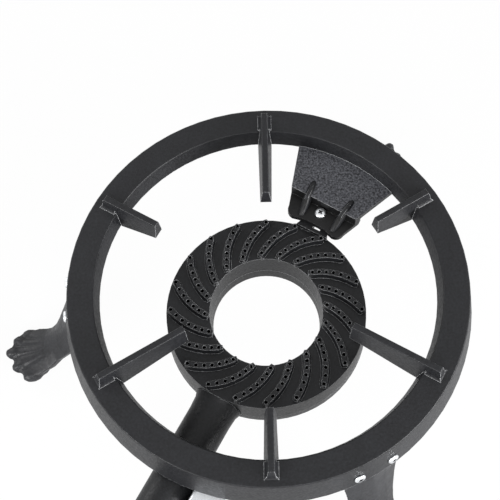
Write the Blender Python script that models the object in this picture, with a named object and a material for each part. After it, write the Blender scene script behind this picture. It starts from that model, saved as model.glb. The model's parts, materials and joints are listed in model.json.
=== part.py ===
"""Propane burner stand: a cast ring on three paw-footed legs, and a round burner on a tongue and a hanger.

Metres, +Z up. The ring's axis is vertical. Heights called *_DROP are measured down from the ring's top
face, and azimuths are degrees anticlockwise from +X, seen from above. The stand's origin lies on the
floor, at the middle of the whole object's outline.
"""

import math

import bmesh
import bpy
from mathutils import Matrix, Vector

# ---- clearances ----------------------------------------------------------------------------------
FIT = 0.0003                 # gap between two faces that bear on each other
FLANGE_FIT = 0.0005          # gap between a leg's curved flange and the curved skirt
RUNNING_FIT = 0.0003         # radial clearance of the shutter on its spindle

# ---- ring ----------------------------------------------------------------------------------------
RING_HEIGHT = 0.200          # ring's top face above the floor
RING_R = 0.200               # outer edge of the top face
RING_INNER_R = 0.174         # inner edge of the top face
RING_PLATE = 0.006           # thickness of the top
SKIRT_DEPTH = 0.0395         # outer skirt, top face to lower edge
SKIRT_FLARE = 0.007          # how much further out the skirt's lower edge is
SKIRT_WALL = 0.0055
LIP_DEPTH = 0.019            # inner skirt, top face to lower edge
LIP_SLOPE = 0.0045           # how much further in the inner skirt's lower edge is
LIP_WALL = 0.0050
RING_EDGE = 0.0012           # chamfer on the top face's edges
RING_SEGMENTS = 72

# ---- prongs --------------------------------------------------------------------------------------
# Azimuth of each prong and radius of its tip: short and long prongs take turns.
PRONG_TIPS = ((30.0, 0.1270), (90.0, 0.0965), (150.0, 0.1270), (210.0, 0.0945), (270.0, 0.1270),
              (330.0, 0.0945))
PRONG_RISE = 0.0140              # top of the prongs above the ring
PRONG_TOP_HALF = 0.0032          # half the width of the flat top
PRONG_DRAFT = 0.115              # how the sides spread per unit of depth
PRONG_TIP_DEPTH = 0.0090         # underside at the tip, below the ring's top face
PRONG_ROOT_DEPTH = 0.0205        # underside where it meets the inner skirt
PRONG_OUTER_R = 0.1885           # outer end of the flat top
PRONG_FOOT_R = 0.1915            # outer end at the ring's face
PRONG_FOOT_HALF = 0.0070         # fillet at the foot, half its width
PRONG_FOOT_RISE = 0.0035
PRONG_EDGE = 0.0007              # chamfer on the prong's edges

# ---- tongue that carries the burner --------------------------------------------------------------
TONGUE_AZIMUTH = 58.7
TONGUE_TOP_DROP = 0.0175     # the plate's top face
TONGUE_THICK = 0.0065
TONGUE_ROOT_R = 0.1725       # the plate's outer edge, inside the ring's inner skirt
TONGUE_ROOT_HALF = 0.0560
TONGUE_SIDE_TAPER = 0.37     # how the half width falls per unit of length towards the burner
STEP_AT = 0.1150             # where the plate steps down to the pad, from the ring's axis
PAD_DROP = 0.0300            # the pad's top face
PAD_CORNER = 0.0090
PAD_END_AT = 0.0910          # the pad's inner end, from the ring's axis
PAD_HOLLOW = 0.0036          # how far the middle of that end curves back from the burner
GUSSET_SPAN = (0.1310, 0.0955)   # outer and inner end, along the tongue
GUSSET_SIDES = ((0.0202, 0.0163), (-0.0252, -0.0200))  # sideways, at the outer and the inner end
GUSSET_HALF = 0.0036
GUSSET_CROWN = 0.0030        # height above the plate

# ---- legs ----------------------------------------------------------------------------------------
LEG_AZIMUTHS = {"left": 180.0, "front": 299.3, "rear": 58.7}
LEG_SCREW_SPREAD = 5.2       # degrees each side of the leg's middle
LEG_SCREW_DROP = 0.0255
FLANGE_TOP_DROP = 0.0085
FLANGE_THICK = 0.0060
FLANGE_HALF = 0.0350
LEG_START_OUT = 0.0025       # the outer face below the flange starts this far outside the ring's edge
# The leg's outer face below the flange: share of the reach out to the paw, share of the height between
# the paw and the skirt's lower edge, half width, thickness, crown, twist.
LEG_SHAPE = (
    (0.0000, 0.9349, 0.0345, 0.0060, 0.0034, 0.08),
    (0.0940, 0.7203, 0.0330, 0.0066, 0.0036, 0.17),
    (0.2420, 0.5441, 0.0290, 0.0074, 0.0040, 0.25),
    (0.4038, 0.3831, 0.0244, 0.0084, 0.0044, 0.29),
    (0.5288, 0.2759, 0.0214, 0.0090, 0.0050, 0.30),
    (0.6635, 0.1686, 0.0198, 0.0096, 0.0056, 0.27),
    (0.8365, 0.0690, 0.0200, 0.0104, 0.0062, 0.20),
)
PAW_MIDDLE_R = 0.2660        # middle of the sole
UNDERSIDE_SHARE = 0.81       # width of the leg's underside over that of its outer face
# The paw's outer face: distance out from the middle of the sole, height, the same sizes as above, and how
# far its middle lies to one side.
PAW_SHAPE = (
    (-0.0115, 0.0300, 0.0240, 0.0120, 0.0068, 0.12, 0.0014),
    (-0.0020, 0.0245, 0.0278, 0.0120, 0.0068, 0.05, 0.0030),
    (0.0080, 0.0205, 0.0276, 0.0120, 0.0060, 0.00, 0.0034),
    (0.0170, 0.0175, 0.0235, 0.0105, 0.0050, 0.00, 0.0018),
    (0.0245, 0.0140, 0.0160, 0.0085, 0.0044, 0.00, 0.0022),
)
PAW_SOLE = 0.0130            # how high the sole's pad reaches
PAW_SOLE_HALF = (0.0165, 0.0245)
PAW_SOLE_ASIDE = 0.0030
# The toes: distance out from the sole's middle, distance beside the leg's middle, degrees turned outwards.
TOES = (
    (0.0060, -0.0185, -12.0),
    (0.0165, -0.0118, -6.0),
    (0.0240, 0.0015, 0.0),
    (0.0157, 0.0172, 10.0),
    (0.0025, 0.0278, 16.0),
)
TOE_SIZE = (0.0125, 0.0080, 0.0085)  # half length, half width, half height
TOE_SIDES = (10, 7)

# ---- burner --------------------------------------------------------------------------------------
TUBE_AZIMUTH = 240.3         # the mixer tube's direction from the burner
BURNER_CENTRE = (-0.0022, -0.0110)   # burner's axis from the ring's: the slack of its mounts
BURNER_DROP = 0.0423         # burner's top face
BURNER_R = 0.1020
BURNER_HOLE_R = 0.0579
BURNER_WALL_DRAFT = 0.0014   # outer and inner walls lean by this much down to the seam
BURNER_WALL = 0.0045
BURNER_PLATE = 0.0055
SEAM_DROP = 0.0703           # where the two castings meet
BASE_RIM_DROP = 0.0815       # underside of the base
BASE_LIP_DROP = 0.0856       # lower edge of the lip round the hole
BASE_FLOOR = 0.0040
BASE_CHAMFER = 0.0020
BASE_SCREW_BITE = 0.0120     # how far the base's screws reach into the head's pillars
INLET_DAM = 0.0090           # thickness of the block below the tube's end
BURNER_SEGMENTS = 64
RIB_COUNT = 20
RIB_OUTER_AZIMUTH = 287.0    # outer port of the first rib
RIB_ARC_R = 0.0680           # each rib is an arc of this radius
RIB_ARC_AT = 0.0620          # its centre, from the burner's axis
RIB_ARC_LAG = 45.0           # degrees that the centre lies behind the outer port
RIB_HALF = 0.0040
RIB_RISE = 0.0066
RIB_DRAFT = 0.0010
PORTS_PER_RIB = 7
PORT_R = 0.0017
PORT_FIRST_R = 0.0625        # innermost port, from the burner's axis
PORT_LAST_R = 0.0973
RIB_END = 0.0042             # rib past its last port
PILLAR_AT = 0.0800
PILLAR_AZIMUTH = 36.9
PILLAR_COUNT = 4
PILLAR_R = 0.0055

# ---- burner's ear under the tongue ---------------------------------------------------------------
EAR_SCREW_AT = 0.1186        # from the burner's axis
EAR_HALF = 0.0180
EAR_THICK = 0.0100
EAR_PAST_SCREW = 0.0105
EAR_SLOT_HALF = 0.0042
EAR_SLOT_ASIDE = -0.0032      # off the ear's centre line
EAR_SLOT = (0.0012, 0.0085)   # from the burner's rim

# ---- mixer tube ----------------------------------------------------------------------------------
TUBE_R = 0.0225
TUBE_BORE_R = 0.0175
TUBE_DROP = 0.0680           # tube's axis
TUBE_END_AT = 0.2640         # mouth, from the burner's axis
TUBE_STUB = 0.0130           # how far the tube reaches into the burner, from its rim
TUBE_ROOT_R = 0.0255         # swelling where it leaves the burner
TUBE_ROOT_LENGTH = 0.0180
TUBE_ROOT_SINK = 0.0020      # how far the swelling reaches into the burner's wall
MOUTH_FLANGE_R = 0.0320
MOUTH_FLANGE = 0.0080
TUBE_SEGMENTS = 32

# ---- hanger that holds the tube up under the ring; places are along and beside the tube's axis ---
HANGER_SPAN = (0.1560, 0.2080)   # its edges, from the burner's axis
HANGER_SHEET = 0.0020
HANGER_BEND = 0.0040
HANGER_HOOK = (150.0, 15.0)  # degrees below level round the tube's underside: hook's end, and its start
HANGER_SPLAY = 0.0040        # how far the strip stands off the tube at the wing
HANGER_WING_END = 0.0580     # wing's end, beside the tube's axis
HANGER_SCREWS = ((0.1750, 0.0385), (0.1640, 0.0500))
HANGER_SCREW_LENGTH = 0.0200
BOSS_R = 0.0065

# ---- air shutter and gas inlet -------------------------------------------------------------------
MOUTH_PLATE = 0.0030
MOUTH_SCREWS = 3
MOUTH_SCREW_AT = 0.0265
WINDOW_COUNT = 4
WINDOW_R = (0.0105, 0.0165)
WINDOW_SWEEP = 45.0
SHUTTER_R = 0.0210
SHUTTER_SHEET = 0.0015
SHUTTER_REST = 22.5          # degrees that the shutter is turned from fully open
SHUTTER_TAB_REACH = 0.0380
SHUTTER_TAB_HALF = 0.0040
SHUTTER_TAB_RISE = 0.0080
SHUTTER_TAB_SHEET = 0.0011
SPINDLE_R = 0.0060
SPINDLE_LENGTH = 0.0120      # plate to hexagon
HOLDER_THREAD_R = 0.0048
HOLDER_THREAD = 0.0080       # past the plate, inside the tube
HOLDER_FLATS = 0.0170
HOLDER_HEX = 0.0070
FLARE_R = 0.0078
FLARE_LENGTH = 0.0150
FLARE_CONE = 0.0040
GAS_BORE_R = 0.0028
JET_HOLE_R = 0.0008
JET_FLATS = 0.0080
JET_LENGTH = 0.0060
JET_THREAD = 0.0050
SPRING_R = 0.0082
SPRING_WIRE_R = 0.0006
SPRING_TURNS = 3.5

# ---- fasteners -----------------------------------------------------------------------------------
M6_R = 0.0030
M6_HEAD_R = 0.0060
M6_HEAD = 0.0036
M6_NUT_FLATS = 0.0100
M6_NUT = 0.0050
M6_WASHER_R = 0.0060
M6_WASHER = 0.0016
M5_R = 0.0025
M5_HEAD_R = 0.0047
M5_HEAD = 0.0030
HOLE_CLEARANCE = 0.0004      # a hole's radius over its screw's
THREAD_PAST_NUT = 0.0020
SCREW_SEGMENTS = 12

UP = Vector((0.0, 0.0, 1.0))


# ---- helpers -------------------------------------------------------------------------------------
def clear_scene():
    for old in list(bpy.data.objects):
        bpy.data.objects.remove(old, do_unlink=True)


def paint(name, colour, roughness, metallic):
    """A Principled material; the colour is given as linear red, green and blue."""
    made = bpy.data.materials.new(name)
    made.use_nodes = True
    shader = made.node_tree.nodes["Principled BSDF"]
    shader.inputs["Base Color"].default_value = (*colour, 1.0)
    shader.inputs["Roughness"].default_value = roughness
    shader.inputs["Metallic"].default_value = metallic
    return made


def polar(radius, azimuth, z=0.0):
    angle = math.radians(azimuth)
    return Vector((radius * math.cos(angle), radius * math.sin(angle), z))


def above_floor(drop):
    """Height above the floor of something that lies this far below the ring's top face."""
    return RING_HEIGHT - drop


def frame(origin, z_axis, x_hint=UP):
    """A placing matrix whose Z axis runs along z_axis and whose Y axis is as near x_hint as it can be."""
    z = z_axis.normalized()
    x = x_hint.cross(z).normalized()
    y = z.cross(x)
    turn = Matrix((x, y, z)).transposed().to_4x4()
    return Matrix.Translation(origin) @ turn


def close(bm):
    bmesh.ops.remove_doubles(bm, verts=bm.verts, dist=1e-6)
    bmesh.ops.recalc_face_normals(bm, faces=bm.faces)
    return bm


def moved(bm, matrix):
    bmesh.ops.transform(bm, matrix=matrix, verts=bm.verts)
    return bm


def turned(profile, segments):
    """A solid of revolution about Z from a closed profile of (radius, z) points."""
    bm = bmesh.new()
    points = [bm.verts.new((radius, 0.0, z)) for radius, z in profile]
    edges = [bm.edges.new((points[i - 1], points[i])) for i in range(len(points))]
    bmesh.ops.spin(bm, geom=points + edges, cent=(0, 0, 0), axis=(0, 0, 1), angle=math.tau,
                   steps=segments, use_merge=True, use_duplicate=False)
    return close(bm)


def turned_on_axis(profile, segments):
    """A solid of revolution whose profile starts and ends on the axis."""
    bm = bmesh.new()
    points = [bm.verts.new((radius, 0.0, z)) for radius, z in profile]
    edges = [bm.edges.new((points[i - 1], points[i])) for i in range(1, len(points))]
    bmesh.ops.spin(bm, geom=points + edges, cent=(0, 0, 0), axis=(0, 0, 1), angle=math.tau,
                   steps=segments, use_merge=True, use_duplicate=False)
    return close(bm)


def prism(outline, low, high):
    """A flat outline of (x, y) points, extruded along Z from low to high."""
    bm = bmesh.new()
    face = bm.faces.new([bm.verts.new((x, y, low)) for x, y in outline])
    grown = bmesh.ops.extrude_face_region(bm, geom=[face])
    top = [item for item in grown["geom"] if isinstance(item, bmesh.types.BMVert)]
    bmesh.ops.translate(bm, vec=(0, 0, high - low), verts=top)
    return close(bm)


def loft(sections):
    """A closed solid through rings of points; each ring has as many points as the next."""
    bm = bmesh.new()
    rings = [[bm.verts.new(point) for point in section] for section in sections]
    for lower, upper in zip(rings, rings[1:]):
        for i in range(len(lower)):
            bm.faces.new((lower[i - 1], lower[i], upper[i], upper[i - 1]))
    bm.faces.new(list(reversed(rings[0])))
    bm.faces.new(rings[-1])
    return close(bm)


def circle(radius, count, start=0.0):
    angles = [start + math.tau * i / count for i in range(count)]
    return [(radius * math.cos(angle), radius * math.sin(angle)) for angle in angles]


def hexagon(across_flats):
    return circle(across_flats / 2 / math.cos(math.radians(30)), 6)


def merged(*parts):
    """Several solids that don't touch, as one mesh."""
    whole = bmesh.new()
    for part in parts:
        mesh = bpy.data.meshes.new("loose")
        part.to_mesh(mesh)
        part.free()
        whole.from_mesh(mesh)
        bpy.data.meshes.remove(mesh)
    return whole


def add_object(name, bm, material=None, parent=None, place=None, smooth=30.0):
    mesh = bpy.data.meshes.new(name)
    bm.to_mesh(mesh)
    bm.free()
    if smooth:
        mesh.shade_smooth()
        mesh.set_sharp_from_angle(angle=math.radians(smooth))
    made = bpy.data.objects.new(name, mesh)
    bpy.context.scene.collection.objects.link(made)
    if material:
        mesh.materials.append(material)
    if parent:
        made.parent = parent
    if place:
        made.matrix_basis = place
    return made


def helper(name, bm, parent, group, place=None):
    """An operand of a Boolean: it shapes another object and isn't a piece itself."""
    made = add_object(name, bm, parent=parent, place=place, smooth=None)
    made.hide_render = True
    made.display_type = "WIRE"
    bpy.context.scene.collection.objects.unlink(made)
    group.objects.link(made)
    return made


def operand_group(name):
    group = bpy.data.collections.new(name)
    bpy.context.scene.collection.children.link(group)
    return group


def combine(target, group, operation):
    step = target.modifiers.new(operation.lower(), "BOOLEAN")
    step.operation = operation
    step.solver = "EXACT"
    step.operand_type = "COLLECTION"
    step.collection = group


# ---- ring ----------------------------------------------------------------------------------------
def skirt_r(drop):
    """Outer face of the skirt at this depth."""
    return RING_R + SKIRT_FLARE * drop / SKIRT_DEPTH


def lip_r(drop):
    """Inner face of the inner skirt at this depth."""
    return RING_INNER_R - LIP_SLOPE * drop / LIP_DEPTH


def ring_profile():
    top = above_floor(0.0)
    plate = above_floor(RING_PLATE)
    skirt_end = above_floor(SKIRT_DEPTH)
    lip_end = above_floor(LIP_DEPTH)
    return [
        (RING_R - RING_EDGE, top),
        (skirt_r(RING_EDGE), above_floor(RING_EDGE)),
        (skirt_r(SKIRT_DEPTH), skirt_end),
        (skirt_r(SKIRT_DEPTH) - SKIRT_WALL, skirt_end),
        (skirt_r(RING_PLATE) - SKIRT_WALL, plate),
        (lip_r(RING_PLATE) + LIP_WALL, plate),
        (lip_r(LIP_DEPTH) + LIP_WALL, lip_end),
        (lip_r(LIP_DEPTH), lip_end),
        (lip_r(RING_EDGE), above_floor(RING_EDGE)),
        (RING_INNER_R + RING_EDGE, top),
    ]


def prong(tip_r):
    """A bar on edge along +X, with drafted sides."""
    in_plate = RING_PLATE * 0.5
    in_lip = lip_r(LIP_DEPTH) + LIP_WALL * 0.5
    side = [
        (PRONG_OUTER_R, PRONG_RISE),
        (tip_r, PRONG_RISE),
        (tip_r, -PRONG_TIP_DEPTH),
        (lip_r(LIP_DEPTH) - 0.001, -PRONG_ROOT_DEPTH),
        (in_lip, -LIP_DEPTH + 0.001),
        (lip_r(in_plate) + LIP_WALL, -in_plate),
        (PRONG_FOOT_R, -in_plate),
        (PRONG_FOOT_R, 0.0005),
    ]

    def half(z):
        return PRONG_TOP_HALF + PRONG_DRAFT * (PRONG_RISE - z)

    bm = loft([[(x, -half(z), RING_HEIGHT + z) for x, z in side],
               [(x, half(z), RING_HEIGHT + z) for x, z in side]])
    top_z = RING_HEIGHT + PRONG_RISE
    crown = [edge for edge in bm.edges if all(abs(v.co.z - top_z) < 1e-6 for v in edge.verts)]
    bmesh.ops.bevel(bm, geom=crown, offset=PRONG_EDGE, offset_type="OFFSET", affect="EDGES", segments=1,
                    profile=0.5, material=-1)
    return bm


def prong_foot():
    """The low fillet that spreads the prong on the ring's top face."""
    half_top = PRONG_TOP_HALF + PRONG_DRAFT * (PRONG_RISE - PRONG_FOOT_RISE)
    sink = RING_PLATE * 0.4
    inner = RING_INNER_R + 0.0015
    outer = PRONG_FOOT_R + 0.0015
    base = [(inner, -PRONG_FOOT_HALF), (outer, -PRONG_FOOT_HALF), (outer, PRONG_FOOT_HALF),
            (inner, PRONG_FOOT_HALF)]
    crown = [(inner, -half_top), (PRONG_FOOT_R - 0.0015, -half_top), (PRONG_FOOT_R - 0.0015, half_top),
             (inner, half_top)]
    return loft([[(x, y, RING_HEIGHT - sink) for x, y in base],
                 [(x, y, RING_HEIGHT) for x, y in base],
                 [(x, y, RING_HEIGHT + PRONG_FOOT_RISE) for x, y in crown]])


def tongue_half(along):
    """Half the tongue's width at this distance from the ring's axis."""
    root = math.sqrt(TONGUE_ROOT_R ** 2 - TONGUE_ROOT_HALF ** 2)
    return TONGUE_ROOT_HALF - TONGUE_SIDE_TAPER * (root - along)


def arc(centre_x, radius, half_width, count, bulge=1.0):
    """Points on a circle about (centre_x, 0), from +half_width to -half_width."""
    reach = math.asin(half_width / radius)
    angles = [reach - 2 * reach * i / count for i in range(count + 1)]
    return [(centre_x + bulge * radius * math.cos(a), radius * math.sin(a)) for a in angles]


def tongue_plate():
    root = arc(0.0, TONGUE_ROOT_R, TONGUE_ROOT_HALF, 10)
    inner = STEP_AT
    outline = root + [(inner, -tongue_half(inner)), (inner, tongue_half(inner))]
    top = above_floor(TONGUE_TOP_DROP)
    return prism(outline, top - TONGUE_THICK, top)


def tongue_step():
    """The wall between the plate and the pad below it."""
    outer = STEP_AT + TONGUE_THICK
    foot = STEP_AT - 0.0008
    top = above_floor(TONGUE_TOP_DROP)
    low = above_floor(PAD_DROP + TONGUE_THICK)
    rows = []
    for x_in, x_out, z in ((foot, outer - 0.002, low), (foot, outer, above_floor(PAD_DROP)),
                           (STEP_AT, outer, top - 0.0005)):
        rows.append([(x_in, -tongue_half(x_in), z), (x_out, -tongue_half(x_out), z),
                     (x_out, tongue_half(x_out), z), (x_in, tongue_half(x_in), z)])
    return loft(rows)


def tongue_pad():
    """Flat pad with rounded corners and an end hollowed towards the burner."""
    outer = STEP_AT + 0.002
    corner_x = PAD_END_AT + PAD_CORNER
    flat_half = tongue_half(corner_x) - PAD_CORNER
    left = [(outer, tongue_half(outer))]
    for i in range(5):
        angle = math.radians(90.0 * i / 4)
        left.append((corner_x - PAD_CORNER * math.sin(angle), flat_half + PAD_CORNER * math.cos(angle)))
    for share in (0.75, 0.5, 0.25):
        left.append((PAD_END_AT + PAD_HOLLOW * (1.0 - share ** 2), flat_half * share))
    right = [(x, -y) for x, y in reversed(left)]
    top = above_floor(PAD_DROP)
    return prism(left + right, top - TONGUE_THICK, top)


def gusset(sides):
    """A tapered web from the plate's top down to the pad; sides holds its ends' sideways places."""
    plate = above_floor(TONGUE_TOP_DROP)
    pad = above_floor(PAD_DROP)
    start = Vector((GUSSET_SPAN[0], sides[0]))
    end = Vector((GUSSET_SPAN[1], sides[1]))
    along = (end - start).normalized()
    across = Vector((-along.y, along.x))
    bottom = pad - TONGUE_THICK * 0.5
    stations = (
        (0.00, GUSSET_HALF * 0.35, plate - 0.003, plate + 0.0003),
        (0.15, GUSSET_HALF * 0.9, plate - 0.003, plate + GUSSET_CROWN),
        (0.48, GUSSET_HALF, bottom, plate + GUSSET_CROWN * 0.7),
        (1.00, GUSSET_HALF, bottom, pad + 0.0012),
    )
    length = (end - start).length
    rows = []
    for share, half, low, high in stations:
        middle = start + along * length * share
        ridge = half * 0.50
        rows.append([(*(middle - across * half), low), (*(middle + across * half), low),
                     (*(middle + across * ridge), high), (*(middle - across * ridge), high)])
    return loft(rows)


def hanger_screw_places(z=0.0):
    """Points under the ring, on the wing's side of the tube."""
    sideways = polar(1.0, TUBE_AZIMUTH + 90.0)
    return [burner_place(along, TUBE_AZIMUTH, z) + sideways * beside for along, beside in HANGER_SCREWS]


def ring_boss():
    """Boss under the ring's top that the hanger is screwed to."""
    bm = prism(circle(BOSS_R, 16), above_floor(SKIRT_DEPTH), above_floor(RING_PLATE * 0.5))
    return bm


def leg_screw_frame(azimuth):
    """At the skirt's outer face, with Z along the screw, outwards and square to the face."""
    lean = math.atan2(SKIRT_FLARE, SKIRT_DEPTH)
    out = polar(math.cos(lean), azimuth, math.sin(lean))
    return frame(polar(skirt_r(LEG_SCREW_DROP), azimuth, above_floor(LEG_SCREW_DROP)), out)


def leg_screw_azimuths(azimuth):
    return (azimuth - LEG_SCREW_SPREAD, azimuth + LEG_SCREW_SPREAD)


def screw_hole(radius, low, high):
    return prism(circle(radius + HOLE_CLEARANCE, SCREW_SEGMENTS), low, high)


def build_ring(parent, material):
    ring = add_object("ring_frame", turned(ring_profile(), RING_SEGMENTS), material, parent)
    added = operand_group("ring_added")
    for i, (azimuth, tip_r) in enumerate(PRONG_TIPS):
        turn = Matrix.Rotation(math.radians(azimuth), 4, "Z")
        helper(f"prong_{i}", prong(tip_r), parent, added, turn)
        helper(f"prong_foot_{i}", prong_foot(), parent, added, turn)
    tongue_turn = Matrix.Rotation(math.radians(TONGUE_AZIMUTH), 4, "Z")
    for name, bm in (("plate", tongue_plate()), ("step", tongue_step()), ("pad", tongue_pad()),
                     ("gusset_a", gusset(GUSSET_SIDES[0])), ("gusset_b", gusset(GUSSET_SIDES[1]))):
        helper(f"tongue_{name}", bm, parent, added, tongue_turn)
    for place in hanger_screw_places():
        helper("hanger_boss", ring_boss(), parent, added, Matrix.Translation(place))
    combine(ring, added, "UNION")

    cut = operand_group("ring_cut")
    for azimuth in LEG_AZIMUTHS.values():
        for screw_azimuth in leg_screw_azimuths(azimuth):
            hole = screw_hole(M6_R, -SKIRT_WALL * 2, SKIRT_WALL)
            helper("skirt_hole", hole, parent, cut, leg_screw_frame(screw_azimuth))
    pad_hole = screw_hole(M6_R, above_floor(PAD_DROP + TONGUE_THICK * 2), above_floor(PAD_DROP - 0.003))
    helper("pad_hole", pad_hole, parent, cut, Matrix.Translation(tongue_screw_place()))
    for place in hanger_screw_places():
        tapped = screw_hole(M6_R, above_floor(SKIRT_DEPTH + 0.004), above_floor(RING_PLATE + 0.010))
        helper("boss_hole", tapped, parent, cut, Matrix.Translation(place))
    combine(ring, cut, "DIFFERENCE")
    return ring


# ---- legs ----------------------------------------------------------------------------------------
def leg_section(radius, z, half, thick, crown, lean, twist=0.0, aside=0.0):
    """Ten points round the leg: a crowned outer face and an arched underside, tilted by lean."""
    shares = (-1.0, -0.5, 0.0, 0.5, 1.0)
    outer = [(share * half, -crown * share ** 2) for share in shares]
    under = half * UNDERSIDE_SHARE
    inner = [(share * under, -thick - crown * 0.7 * share ** 2) for share in reversed(shares)]
    points = []
    for side, depth in outer + inner:
        reach = depth * math.cos(lean) - twist * side
        points.append((radius + reach, side + aside, z + depth * math.sin(lean)))
    return points


def flange_face_r(drop):
    """The flange's outer face, just inside the skirt's wall."""
    slant = math.cos(math.atan2(SKIRT_FLARE, SKIRT_DEPTH))
    return skirt_r(drop) - (SKIRT_WALL + FLANGE_FIT) / slant


def leg_sections():
    sections = []
    skirt_lean = math.atan2(SKIRT_FLARE, SKIRT_DEPTH)
    for drop in (FLANGE_TOP_DROP, LEG_SCREW_DROP, SKIRT_DEPTH - 0.002):
        face = flange_face_r(drop)
        sagitta = FLANGE_HALF ** 2 / (2 * face)
        level = above_floor(drop)
        sections.append(leg_section(face, level, FLANGE_HALF, FLANGE_THICK, sagitta, skirt_lean))
    start = RING_R + LEG_START_OUT
    reach = PAW_MIDDLE_R + PAW_SHAPE[0][0] - start
    ankle = PAW_SHAPE[0][1]
    rise = above_floor(SKIRT_DEPTH) - ankle
    bowed = [(start + reach * out, ankle + rise * up, *sizes) for out, up, *sizes in LEG_SHAPE]
    shape = bowed + [(PAW_MIDDLE_R + out, *sizes) for out, *sizes in PAW_SHAPE]
    for i, (radius, z, half, thick, crown, *turned_aside) in enumerate(shape):
        before = shape[max(i - 1, 0)]
        after = shape[min(i + 1, len(shape) - 1)]
        lean = math.atan2(after[0] - before[0], before[1] - after[1])
        sections.append(leg_section(radius, z, half, thick, crown, lean, *turned_aside))
    return sections


def toe(out, beside, turn):
    """One toe of the paw, a stretched ball standing on the floor."""
    bm = bmesh.new()
    bmesh.ops.create_uvsphere(bm, u_segments=TOE_SIDES[0], v_segments=TOE_SIDES[1], radius=1.0)
    length, width, height = TOE_SIZE
    size = Matrix.Diagonal((length, width, height, 1.0))
    spot = Matrix.Translation((PAW_MIDDLE_R + out, beside, height))
    return moved(bm, spot @ Matrix.Rotation(math.radians(turn), 4, "Z") @ size)


def paw_sole():
    """The thick middle of the paw, flat underneath."""
    along, across = PAW_SOLE_HALF
    levels = []
    for longer, wider, z in ((1.15, 1.05, 0.0), (1.25, 1.12, PAW_SOLE * 0.45), (1.0, 0.9, PAW_SOLE)):
        levels.append([(PAW_MIDDLE_R + along * longer * x, PAW_SOLE_ASIDE + across * wider * y, z)
                       for x, y in circle(1.0, 14)])
    return loft(levels)


def floor_cutter():
    half = 0.060
    box = [(PAW_MIDDLE_R - half, -half), (PAW_MIDDLE_R + half, -half), (PAW_MIDDLE_R + half, half),
           (PAW_MIDDLE_R - half, half)]
    return prism(box, -0.040, 0.0)


def build_leg(name, azimuth, parent, material):
    turn = Matrix.Rotation(math.radians(azimuth), 4, "Z")
    leg = add_object(f"leg_{name}", loft(leg_sections()), material, parent, turn, smooth=40.0)
    added = operand_group(f"leg_{name}_added")
    helper("sole", paw_sole(), parent, added, turn)
    for out, beside, outwards in TOES:
        helper("toe", toe(out, beside, outwards), parent, added, turn)
    combine(leg, added, "UNION")
    cut = operand_group(f"leg_{name}_cut")
    helper("floor_plane", floor_cutter(), parent, cut, turn)
    for screw_azimuth in leg_screw_azimuths(azimuth):
        hole = screw_hole(M6_R, -SKIRT_WALL - FLANGE_THICK * 2, -SKIRT_WALL * 0.5)
        helper("flange_hole", hole, parent, cut, leg_screw_frame(screw_azimuth))
    combine(leg, cut, "DIFFERENCE")
    return leg


# ---- fasteners -----------------------------------------------------------------------------------
def pan_screw(radius, head_r, head, length):
    """A pan-head screw with its head's seat at z = 0 and its shank along -Z."""
    profile = [
        (0.0, head),
        (head_r * 0.62, head * 0.90),
        (head_r * 0.92, head * 0.55),
        (head_r, head * 0.18),
        (head_r, 0.0),
        (radius, 0.0),
        (radius, -length + radius * 0.3),
        (radius * 0.7, -length),
        (0.0, -length),
    ]
    return turned_on_axis(profile, SCREW_SEGMENTS)


def hex_nut(flats, height, bore_r):
    """A nut from z = 0 down to -height, with its bore."""
    outer = hexagon(flats)
    inner = circle(bore_r, 6, math.radians(0))
    bm = bmesh.new()
    rings = []
    for z in (0.0, -height):
        rings.append([bm.verts.new((x, y, z)) for x, y in outer])
        rings.append([bm.verts.new((x, y, z)) for x, y in inner])
    top_out, top_in, low_out, low_in = rings
    for i in range(6):
        bm.faces.new((top_out[i - 1], top_out[i], top_in[i], top_in[i - 1]))
        bm.faces.new((low_out[i - 1], low_in[i - 1], low_in[i], low_out[i]))
        bm.faces.new((top_out[i - 1], low_out[i - 1], low_out[i], top_out[i]))
        bm.faces.new((top_in[i - 1], top_in[i], low_in[i], low_in[i - 1]))
    return close(bm)


def washer(outer_r, bore_r, thick):
    """A flat washer from z = 0 down to -thick."""
    return turned([(bore_r, 0.0), (outer_r, 0.0), (outer_r, -thick), (bore_r, -thick)], SCREW_SEGMENTS)


def nut_bore(radius):
    """A hexagonal bore's corner radius that clears a round shank."""
    return (radius + FIT) / math.cos(math.radians(30))


def add_copies(names, bm, material, parent, places):
    """The same piece several times: each copy is its own object, and all share one mesh."""
    first = add_object(names[0], bm, material, parent, places[0])
    for name, place in zip(names[1:], places[1:]):
        copy = bpy.data.objects.new(name, first.data)
        bpy.context.scene.collection.objects.link(copy)
        copy.parent = parent
        copy.matrix_basis = place


def build_leg_fasteners(parent, material):
    stack = SKIRT_WALL + FLANGE_FIT + FLANGE_THICK
    nut_face = -stack - FIT * 2
    length = -nut_face + M6_NUT + THREAD_PAST_NUT
    screw_names = []
    nut_names = []
    places = []
    for name, azimuth in LEG_AZIMUTHS.items():
        for number, screw_azimuth in enumerate(leg_screw_azimuths(azimuth), 1):
            screw_names.append(f"leg_{name}_screw_{number}")
            nut_names.append(f"leg_{name}_nut_{number}")
            places.append(leg_screw_frame(screw_azimuth))
    seated = Matrix.Translation((0, 0, FIT))
    screw = pan_screw(M6_R, M6_HEAD_R, M6_HEAD, length + FIT)
    add_copies(screw_names, screw, material, parent, [place @ seated for place in places])
    tightened = Matrix.Translation((0, 0, nut_face))
    nut = hex_nut(M6_NUT_FLATS, M6_NUT, nut_bore(M6_R))
    add_copies(nut_names, nut, material, parent, [place @ tightened for place in places])


# ---- burner --------------------------------------------------------------------------------------
def wall_lean(drop):
    """How far the burner's walls have spread at this depth below the ring's top face."""
    return BURNER_WALL_DRAFT * (drop - BURNER_DROP) / (SEAM_DROP - BURNER_DROP)


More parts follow.
